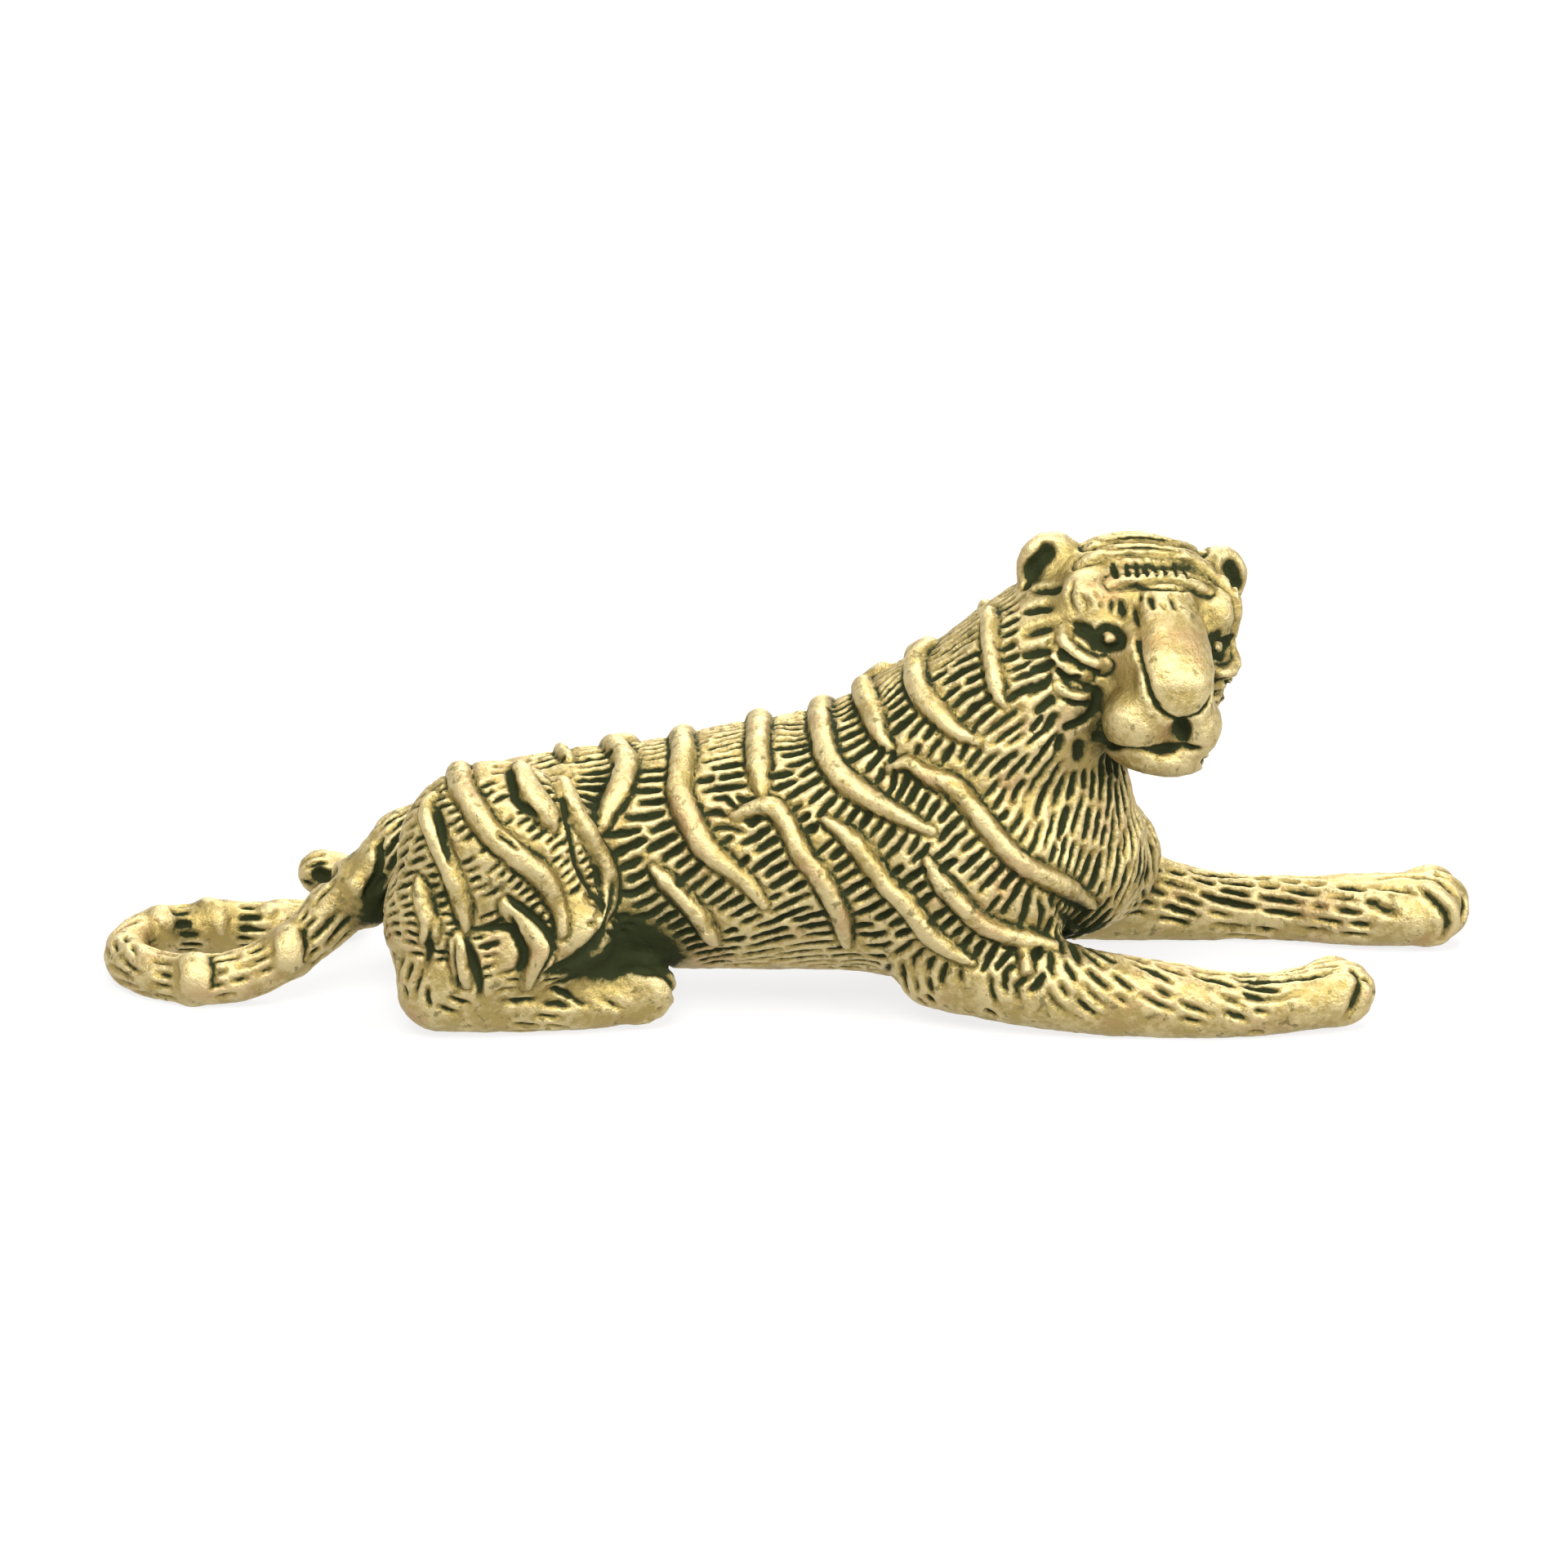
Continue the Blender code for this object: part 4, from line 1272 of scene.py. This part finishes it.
    flows: list[tuple] = field(default_factory=lambda: [
        (Coat.CROWN, [(1340, 662, 1380, 657), (1400, 656, 1440, 660)]),
        (Coat.BARE, [
            (1380, 735, 1400, 740), (1420, 820, 1425, 840), (1340, 830, 1345, 850),
            (1400, 890, 1405, 900), (1400, 940, 1430, 940), (1340, 700, 1345, 720),
            (1310, 800, 1315, 815), (1305, 870, 1308, 890), (1275, 660, 1300, 668),
            (1258, 700, 1262, 715), (1285, 760, 1280, 790), (1315, 920, 1325, 925),
            (1330, 745, 1340, 755), (1280, 850, 1285, 870),
        ]),
    ])

    def place(self) -> Matrix:
        """The head's own frame."""
        facing = Matrix.Rotation(math.radians(self.turn - 90.0), 4, "Z")
        tilt = Matrix.Rotation(math.radians(-self.roll), 4, "X")
        return Matrix.Translation(self.middle) @ facing @ tilt

    def mirror(self) -> Matrix:
        """The reflection that swaps the head's two halves."""
        return self.place() @ ACROSS_BODY @ self.place().inverted()

    def add_masses(self, clay: Clay) -> None:
        """Skull, cheeks, muzzle and chin."""
        for centre, radii in self.masses.values():
            clay.lump(centre, radii, self.place(), both_sides=True)

    def add_details(self, clay: Clay) -> None:
        """Nose, whisker pads, brows, eyes and ears."""
        clay.limb(self.nose, self.place())
        for centre, radii in [*self.features.values(), self.eye]:
            clay.lump(centre, radii, self.place(), both_sides=True)
        for centre, radii in self.one_sided.values():
            clay.lump(centre, radii, self.place())

    def add_ridges(self, clay: Clay, skin: Skin, fur: Fur) -> None:
        """The raised stripes of the forehead and the folds under the eyes, clear of fur."""
        ridges = [(skin.calmed(pixels), *size) for pixels, *size in self.forehead_ridges]
        for pixels, *size in self.eye_folds:
            line = skin.traced(pixels)
            ridges += [(line, *size), (skin.reflected(line, self.mirror()), *size)]
        for line, half_width, height in ridges:
            clay.ridge(line, half_width, height)
            fur.stripes += fur.keep_clear(line, half_width)

    def guide_fur(self, skin: Skin, fur: Fur) -> None:
        """Fine fur on the crown, and none on the face."""
        fur.learn_flows(skin, self.flows, self.mirror())

    def cuts(self, skin: Skin) -> list[Cut]:
        """Mouth, nose, eyes, ears, forehead and ruff."""
        mirror = self.mirror()
        (across, down), radius, half_width, depth = self.eye_ring
        ring = [(across + radius * math.cos(turn),
                 down + self.eye_openness * radius * math.sin(turn))
                for turn in np.linspace(0, 2 * math.pi, 17)]
        paired = [*self.paired_cuts, (ring, half_width, depth)]
        ruff = [(pixels, *self.ruff_size) for pixels in self.ruff_cuts]
        return (engraved(skin, self.own_cuts) + engraved(skin, paired, mirror, tapered=False)
                + engraved(skin, ruff, mirror))


@dataclass
class Stripes:
    """Raised stripes, read from the photograph on the near flank and mirrored to the far one."""

    height: float = 0.54
    stouter: float = 0.09
    flank: list[tuple] = field(default_factory=lambda: [
        ([(748, 908), (767, 931), (760, 962), (742, 994), (736, 1016)], 0.62),
        ([(831, 885), (836, 924), (831, 965), (844, 1003), (863, 1038), (892, 1064),
          (917, 1086), (935, 1110)], 0.62),
        ([(930, 879), (927, 908), (929, 940), (933, 972)], 0.6),
        ([(897, 999), (922, 990), (946, 988), (962, 1007), (981, 1045), (1000, 1070),
          (1019, 1102), (1032, 1134), (1037, 1160)], 0.5),
        ([(1003, 862), (1006, 902), (1020, 940), (1040, 960), (1065, 978), (1103, 1000),
          (1140, 1018)], 0.6),
        ([(1008, 1003), (1032, 1019), (1049, 1036), (1081, 1080), (1110, 1109), (1138, 1146),
          (1164, 1166), (1190, 1179)], 0.5),
        ([(1084, 815), (1063, 828), (1056, 845), (1068, 875), (1080, 905), (1088, 914)], 0.58),
        ([(1138, 790), (1119, 812), (1126, 848), (1148, 873), (1170, 895), (1196, 908)], 0.58),
        ([(1212, 745), (1210, 777), (1215, 816), (1221, 848), (1229, 863)], 0.45),
        ([(1088, 940), (1113, 934), (1129, 946), (1164, 962), (1190, 988), (1215, 1020),
          (1247, 1055), (1279, 1074), (1311, 1090), (1339, 1112)], 0.52),
        ([(1135, 1055), (1151, 1080), (1177, 1109), (1205, 1134), (1247, 1149),
          (1295, 1157)], 0.48),
        ([(799, 1064), (828, 1093), (857, 1125), (876, 1157)], 0.45),
        ([(684, 914), (690, 922), (700, 930)], 0.32),
    ])
    haunch: list[tuple] = field(default_factory=lambda: [
        ([(532, 972), (522, 985), (526, 1010), (540, 1045), (554, 1078), (565, 1112),
          (571, 1140)], 0.46),
        ([(560, 936), (562, 955), (569, 971), (588, 1003), (602, 1022), (620, 1038), (640, 1055),
          (660, 1071), (676, 1094), (686, 1118), (688, 1145)], 0.6),
        ([(635, 936), (648, 964), (665, 990), (679, 1012)], 0.62),
        ([(686, 955), (705, 994), (724, 1026), (740, 1061), (745, 1098), (737, 1136)], 0.52),
        ([(618, 1107), (630, 1122), (647, 1137), (660, 1151), (664, 1168), (657, 1190),
          (645, 1212)], 0.6),
        ([(512, 1077), (518, 1109), (526, 1136), (520, 1157)], 0.45),
        ([(560, 1146), (563, 1181), (571, 1208)], 0.45),
    ])
    branch: tuple = ([(1250, 1154), (1256, 1172), (1258, 1195)], 0.3)
    beyond: float = 2.2
    over_back: float = 1.0

    def lay(self, clay: Clay, skin: Skin, fur: Fur) -> None:
        """Lays the stripes on both flanks, and tells the fur where they are.

        Args:
            clay: The clay that they are pressed on.
            skin: The skin that they follow.
            fur: The fur that stops short of them.
        """
        pixels, half_width = self.branch
        laid = [(skin.traced(pixels), half_width, Coat.FLANK)]
        for pixels, half_width in self.flank:
            line = skin.traced(pixels)
            far = skin.reflected(line, ACROSS_BODY, self.beyond)
            lines = [far[::-1] + line] if line[0][0].y > self.over_back else [line, far]
            laid += [(line, half_width, Coat.FLANK) for line in lines]
        for pixels, half_width in self.haunch:
            line = skin.traced(pixels)
            far = skin.reflected(line, TO_FAR_HAUNCH, FAR_HAUNCH_STARTS)
            laid += [(line, half_width, Coat.HAUNCH), (far, half_width, Coat.HAUNCH)]
        for line, half_width, coat in laid:
            clay.ridge(line, half_width + self.stouter, self.height)
            if len(line) > 2:
                fur.learn_stripe(line, half_width + self.stouter, coat)


@dataclass
class Casting:
    """The whole tiger, from clay to a carved skin of limited weight."""

    mass_voxel: float = 0.42
    feature_voxel: float = 0.3
    fine_voxel: float = 0.14
    mass_smoothing: int = 8
    feature_smoothing: int = 3
    fine_smoothing: int = 3
    crease_passes: int = 6
    hollow_passes: int = 60
    triangles: int = 194000
    foot_flat: float = 0.1
    inside_frame: float = 0.9995
    body: Body = field(default_factory=Body)
    tail: Tail = field(default_factory=Tail)
    legs: Legs = field(default_factory=Legs)
    head: Head = field(default_factory=Head)
    stripes: Stripes = field(default_factory=Stripes)
    fur: Fur = field(default_factory=Fur)
    graver: Graver = field(default_factory=Graver)
    # Painted shade: dark spots added to the shelter at listed places under the haunches and around
    # the tail, chest and forelegs, where shadow falls, on top of the patina there.
    patina_and_shade_pool_darkness: float = 0.4
    haunch_patina_and_shade_pools: list[tuple[Pixel, float]] = field(default_factory=lambda: [
        ((775, 1145), 2.0), ((812, 1162), 1.6), ((738, 1180), 1.4), ((700, 1190), 1.1),
        ((752, 1152), 1.1), ((722, 1180), 1.1),
    ])
    other_patina_and_shade_pools: list[tuple[Pixel, float]] = field(default_factory=lambda: [
        ((457, 1122), 1.5), ((392, 1068), 0.8), ((228, 1134), 0.9), ((300, 1134), 0.9),
        ((1345, 1138), 0.9), ((1400, 1075), 1.2),
    ])
    shift: Vector = field(default_factory=Vector)

    def sculpt(self) -> bpy.types.Object:
        """Makes the tiger in the row frame.

        Returns:
            The finished piece.
        """
        parts = (self.body, self.tail, self.legs, self.head)
        clay = Clay()
        for part in parts:
            part.add_masses(clay)
        clay = clay.fuse(self.mass_voxel, self.mass_smoothing).clay()
        for part in parts[1:]:
            part.add_details(clay)
        guide = clay.fuse(self.feature_voxel, self.feature_smoothing)
        LOG.info("features fused: %d points", len(guide.places))
        clay = guide.clay(keep=True)
        self.stripes.lay(clay, guide, self.fur)
        self.head.add_ridges(clay, guide, self.fur)
        self.tail.add_bands(clay, guide, self.fur)
        for part in parts:
            part.guide_fur(guide, self.fur)
        strokes = self.fur.grow(guide)
        LOG.info("fur: %d strokes", len(strokes))
        guide.discard()
        fine = clay.fuse(self.fine_voxel, self.fine_smoothing)
        LOG.info("fine skin: %d points", len(fine.places))
        cuts = [cut for part in parts for cut in part.cuts(fine)]
        self.graver.carve(fine, self.settled(strokes, fine) + cuts, self.fur.stripes)
        LOG.info("carved")
        return self.finish(fine)

    def settled(self, strokes: list[Cut], fine: Skin) -> list[Cut]:
        """The strokes, laid on the fine skin."""
        made = []
        for stroke in strokes:
            line = []
            for place, _ in stroke.line:
                near, normal, _, _ = fine.tree.find_nearest(place)
                line.append((near, normal))
            made.append(Cut(line, stroke.half_width, stroke.depth, tapered=True))
        return made

    def finish(self, fine: Skin) -> bpy.types.Object:
        """Lightens the carved skin, grinds its feet flat and brings it to the row frame.

        Args:
            fine: The carved skin.

        Returns:
            The piece, with its sinks, creases, hollows and shelter as attributes, which its finish
            turns into patina with painted shade, and into wear with a painted highlight.
        """
        obj = fine.obj
        # Relief measures, which the finish turns into patina with painted shade in the hollows, and
        # into wear with a painted highlight on raised places.
        wear_and_highlight_relief = {"sink": fine.sink, "crease": fine.hollowness(self.crease_passes),
                "hollow": fine.hollowness(self.hollow_passes)}
        finder = fine.finder()
        # Painted shade where shadow falls: dark spots under the near haunch, mirrored to the far
        # one, and around the tail and forelegs; they add to the shelter and so to the patina.
        patina_and_shade_pools = [(fine.sight(pixel)[0], reach) for pixel, reach in self.haunch_patina_and_shade_pools]
        patina_and_shade_pools += [(ACROSS_BODY @ place, reach) for place, reach in patina_and_shade_pools]
        patina_and_shade_pools += [(fine.sight(pixel)[0], reach) for pixel, reach in self.other_patina_and_shade_pools]
        self.lighten(obj)
        self.grind_feet(obj)
        nearest = np.array([finder.find(vert.co)[1] for vert in obj.data.vertices])
        for name, values in wear_and_highlight_relief.items():
            self.record(obj, name, values[nearest])
        light = Skin(obj)
        # The shelter darkens the finish: patina in the real hollows, and painted shade under the
        # belly, chin and haunches where the piece shades itself.
        shelter = light.shelter()
        for place, reach in patina_and_shade_pools:
            gaps = np.linalg.norm(light.places - np.array(place), axis=1)
            shelter += self.patina_and_shade_pool_darkness * np.exp(-(gaps / reach) ** 2)
        self.record(obj, "shelter", shelter)
        self.bring_to_frame(obj, light.places)
        bpy.ops.object.shade_smooth()
        obj.name = obj.data.name = "tiger_casting"
        return obj

    def lighten(self, obj: bpy.types.Object) -> None:
        """Brings the skin down to its number of triangles."""
        decimate = obj.modifiers.new("lighten", "DECIMATE")
        decimate.ratio = self.triangles / (2 * len(obj.data.polygons))
        apply_modifiers(obj)

    def grind_feet(self, obj: bpy.types.Object) -> None:
        """Cuts the lowest metal away, and closes the flats that this leaves."""
        bm = bmesh.new()
        bm.from_mesh(obj.data)
        bmesh.ops.bisect_plane(
            bm, geom=bm.verts[:] + bm.edges[:] + bm.faces[:], dist=1e-5,
            plane_co=(0, 0, self.foot_flat), plane_no=(0, 0, 1), clear_inner=True,
        )
        bmesh.ops.holes_fill(bm, edges=[e for e in bm.edges if e.is_boundary], sides=0)
        bmesh.ops.triangulate(bm, faces=bm.faces)
        bm.to_mesh(obj.data)
        bm.free()

    def record(self, obj: bpy.types.Object, name: str, values: np.ndarray) -> None:
        """Writes a number at each point of the piece, for its finish to read."""
        layer = obj.data.attributes.new(name, "FLOAT", "POINT")
        layer.data.foreach_set("value", values.astype(np.float32))

    def bring_to_frame(self, obj: bpy.types.Object, places: np.ndarray) -> None:
        """Moves the piece to the row frame, in metres, just inside the CAD model's box."""
        low, high = places.min(0), places.max(0)
        middle = (low + high) / 2
        self.shift = Vector((-middle[0], -middle[1], -self.foot_flat))
        places = (places + np.array(self.shift)) * MM
        room = np.array(CAD_HIGH - CAD_LOW)
        fit = np.minimum(1.0, self.inside_frame * room / np.ptp(places, axis=0))
        LOG.info("fit to the frame: %s", fit.round(4))
        obj.data.vertices.foreach_set("co", (places * fit).ravel())
        obj.data.update()


class Socket:
    """A shader socket that takes part in expressions."""

    def __init__(self, nodes: "Nodes", source: bpy.types.NodeSocket) -> None:
        """Wraps an output socket."""
        self.nodes = nodes
        self.source = source

    def maths(self, operation: str, *values: "Socket | float") -> "Socket":
        """The result of a Math node."""
        return self.nodes.add("ShaderNodeMath", {"operation": operation},
                              dict(enumerate(values)))

    def __add__(self, other: "Socket | float") -> "Socket":
        """Sum."""
        return self.maths("ADD", self, other)

    def __radd__(self, other: float) -> "Socket":
        """Sum with a number first."""
        return self.maths("ADD", other, self)

    def __sub__(self, other: "Socket | float") -> "Socket":
        """Difference."""
        return self.maths("SUBTRACT", self, other)

    def __rsub__(self, other: float) -> "Socket":
        """Difference from a number."""
        return self.maths("SUBTRACT", other, self)

    def __mul__(self, other: "Socket | float") -> "Socket":
        """Product."""
        return self.maths("MULTIPLY", self, other)

    def __rmul__(self, other: float) -> "Socket":
        """Product with a number first."""
        return self.maths("MULTIPLY", other, self)

    def top(self, other: "Socket | float") -> "Socket":
        """The greater of two values."""
        return self.maths("MAXIMUM", self, other)

    def step_up(self, low: float, high: float) -> "Socket":
        """A smooth rise from 0 at the low value to 1 at the high one."""
        return self.nodes.add(
            "ShaderNodeMapRange", {"interpolation_type": "SMOOTHSTEP"},
            {"Value": self, "From Min": low, "From Max": high, "To Min": 0.0, "To Max": 1.0},
        )


class Nodes:
    """The nodes of one material."""

    def __init__(self, material: bpy.types.Material) -> None:
        """Clears a material's tree."""
        material.use_nodes = True
        self.tree = material.node_tree
        self.tree.nodes.clear()

    def add(self, kind: str, settings: dict | None = None, sockets: dict | None = None,
            output: str | int = 0) -> Socket:
        """Adds a node.

        Args:
            kind: The node's type.
            settings: Its properties, set first.
            sockets: Values or links of its input sockets.
            output: The output socket that is returned.

        Returns:
            The output.
        """
        node = self.tree.nodes.new(kind)
        for name, value in (settings or {}).items():
            setattr(node, name, value)
        for name, value in (sockets or {}).items():
            if isinstance(value, Socket):
                self.tree.links.new(value.source, node.inputs[name])
            else:
                node.inputs[name].default_value = value
        return Socket(self, node.outputs[output]) if len(node.outputs) else Socket(self, None)

    def attribute(self, name: str) -> Socket:
        """A number that the piece carries at its points."""
        return self.add("ShaderNodeAttribute", {"attribute_name": name}, output="Fac")

    def place(self) -> Socket:
        """The place on the piece, in metres."""
        return self.add("ShaderNodeTexCoord", output="Object")

    def noise(self, scale: float, detail: float = 3.0, roughness: float = 0.55) -> Socket:
        """Noise around one half."""
        return self.add("ShaderNodeTexNoise", None, {
            "Vector": self.place(), "Scale": scale, "Detail": detail, "Roughness": roughness,
        })

    def mixed(self, share: Socket, first: "Socket | tuple", second: "Socket | tuple") -> Socket:
        """One colour changing into another."""
        return self.add("ShaderNodeMix", {"data_type": "RGBA"},
                        {0: share, 6: first, 7: second}, output=2)


@dataclass(frozen=True)
class AgedBrass:
    """Cast brass, lighter on what stands out for wear and a painted highlight, and dark with patina
    in the hollows, with painted shade where the piece shades itself.
    """

    # Lighter gold for wear on raised places, also a painted highlight.
    wear_and_highlight_gold: tuple = (0.56, 0.46, 0.235, 1.0)
    gold: tuple = (0.375, 0.285, 0.10, 1.0)
    rosy: tuple = (0.43, 0.265, 0.13, 1.0)
    tarnish: tuple = (0.15, 0.125, 0.042, 1.0)
    # Patina colour, laid in the hollows and also as painted shade where the piece shades itself.
    patina: tuple = (0.022, 0.027, 0.008, 1.0)
    grain: float = 2600.0
    patches: float = 420.0
    open_shelter: float = 0.26
    recess_range: tuple = (0.3, 0.66)
    dull_range: tuple = (-0.18, 0.45)
    wear_and_highlight_range: tuple = (-0.05, 0.5)
    speck_range: tuple = (0.58, 0.68)
    blush_range: tuple = (0.54, 0.7)

    def dress(self, piece: bpy.types.Object) -> None:
        """Gives the piece its finish."""
        material = bpy.data.materials.new("aged_brass_cast")
        nodes = Nodes(material)
        fine = nodes.noise(self.grain, 4.0, 0.65)
        broad = nodes.noise(self.patches, 4.0, 0.6)
        specks = nodes.noise(self.grain * 0.55, 3.0, 0.6)
        sink = nodes.attribute("sink")
        crease = nodes.attribute("crease")
        hollow = nodes.attribute("hollow")
        shelter = nodes.attribute("shelter")
        mottle = (fine - 0.5) * 1.1 + (broad - 0.5) * 1.25
        # Shelter beyond open surface: partly patina in hollows, partly painted shade where the
        # piece shades itself.
        occluded_patina_and_shade = shelter - self.open_shelter
        # Depth and shelter with mottling: patina in grooves and hollows, plus painted shade from
        # the shelter and the dark spots.
        depth = sink * 2.4 + crease * 3.4 + hollow * 0.7 + occluded_patina_and_shade * 2.3 + mottle
        patina_and_shade = depth.step_up(*self.recess_range)
        # Tarnish towards the hollows, partly painted shade where the shelter raises it; it also
        # roughens the surface.
        tarnish_and_shade = depth.step_up(*self.dull_range)
        # Raised places, made lighter for wear and as a painted highlight on ridges and stripes.
        standing = mottle - crease * 8.0 - hollow * 1.6 - shelter * 0.6
        wear_and_highlight_relief = standing.step_up(*self.wear_and_highlight_range)
        speck = specks.step_up(*self.speck_range) * 0.7
        blushes = nodes.noise(self.patches * 0.7, 3.0, 0.6)
        blush = blushes.step_up(*self.blush_range) * 0.5
        colour = nodes.mixed(wear_and_highlight_relief, self.gold, self.wear_and_highlight_gold)
        colour = nodes.mixed(blush, colour, self.rosy)
        colour = nodes.mixed((tarnish_and_shade * 0.8).top(speck), colour, self.tarnish)
        # Patina in the hollows, with painted shade where the shelter and the dark spots reach.
        colour = nodes.mixed(patina_and_shade, colour, self.patina)
        bump = nodes.add("ShaderNodeBump", None, {
            "Strength": 0.75, "Distance": 0.0002, "Height": fine * 0.65 + broad * 0.5,
        })
        shader = nodes.add("ShaderNodeBsdfPrincipled", None, {
            "Base Color": colour,
            "Metallic": 1.0 - patina_and_shade * 0.92,
            "Roughness": 0.5 + tarnish_and_shade * 0.08 + patina_and_shade * 0.2 + (fine - 0.5) * 0.3,
            "Specular IOR Level": 0.12,
            "Normal": bump,
        })
        nodes.add("ShaderNodeOutputMaterial", None, {"Surface": shader})
        piece.data.materials.clear()
        piece.data.materials.append(material)


@dataclass(frozen=True)
class PaleFloor:
    """Matt white paper, which the eye and the brass see as white, with the shadow left in."""

    colour: tuple = (0.86, 0.86, 0.86, 1.0)
    lift: float = 0.8

    def dress(self, piece: bpy.types.Object) -> None:
        """Gives the floor its finish."""
        nodes = Nodes(bpy.data.materials.new("pale_floor"))
        rays = seen_directly(nodes)
        paper = nodes.add("ShaderNodeBsdfDiffuse", None, {"Color": self.colour})
        glow = nodes.add("ShaderNodeEmission", None, {"Color": (1, 1, 1, 1), "Strength": 1.0})
        surface = nodes.add("ShaderNodeMixShader", None,
                            {0: rays * self.lift, 1: paper, 2: glow})
        nodes.add("ShaderNodeOutputMaterial", None, {"Surface": surface})
        piece.data.materials.append(bpy.data.materials["pale_floor"])


def seen_directly(nodes: Nodes) -> Socket:
    """One for rays that the eye sees straight, by reflection or through glass."""
    camera = nodes.add("ShaderNodeLightPath", output="Is Camera Ray")
    glossy = nodes.add("ShaderNodeLightPath", output="Is Glossy Ray")
    through = nodes.add("ShaderNodeLightPath", output="Is Transmission Ray")
    return camera.top(glossy).top(through)


@dataclass
class Studio:
    """Pale floor, white surroundings and soft lamps."""

    floor_size: float = 3.0
    surround: float = 0.55
    aim_height: float = 0.012
    lamps: list[tuple] = field(default_factory=lambda: [
        ("key", (-0.08, -0.30, 0.44), 0.3, 2.7),
        ("fill", (0.36, -0.26, 0.24), 0.22, 1.7),
        ("rim", (0.05, 0.36, 0.34), 0.24, 1.6),
    ])

    def build(self) -> None:
        """Makes the floor, the world and the lamps."""
        bpy.ops.object.select_all(action="DESELECT")
        bpy.ops.mesh.primitive_plane_add(size=self.floor_size, location=(0, 0, 0))
        floor = bpy.context.object
        floor.name = "floor"
        PaleFloor().dress(floor)
        self.light_world()
        for name, place, size, power in self.lamps:
            self.hang_lamp(name, place, size, power)

    def light_world(self) -> None:
        """White to the eye and in reflections, and plainly lit otherwise."""
        world = bpy.data.worlds.new("surround")
        bpy.context.scene.world = world
        nodes = Nodes(world)
        rays = seen_directly(nodes)
        strength = rays * (1.0 - self.surround) + self.surround
        sky = nodes.add("ShaderNodeBackground", None,
                        {"Color": (1, 1, 1, 1), "Strength": strength})
        nodes.add("ShaderNodeOutputWorld", None, {"Surface": sky})

    def hang_lamp(self, name: str, place: tuple, size: float, power: float) -> None:
        """One square lamp that faces the tiger."""
        data = bpy.data.lights.new(name, "AREA")
        data.size = size
        data.energy = power
        lamp = bpy.data.objects.new(name, data)
        bpy.context.scene.collection.objects.link(lamp)
        lamp.location = place
        towards = Vector((0, 0, self.aim_height)) - Vector(place)
        lamp.rotation_euler = towards.to_track_quat("-Z", "Y").to_euler()


def main() -> None:
    """Builds the tiger, its finish, the studio and the camera."""
    logging.basicConfig(level=logging.INFO, format="%(name)s: %(message)s")
    bpy.context.scene.view_settings.view_transform = "Standard"
    casting = Casting()
    piece = casting.sculpt()
    AgedBrass().dress(piece)
    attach(piece, "root")
    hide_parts("tiger")
    LOG.info("casting: %d triangles", len(piece.data.polygons))
    Studio().build()
    VIEW.place_camera(casting.shift)
    LOG.info("studio and camera set")


if __name__ == "__main__":
    main()
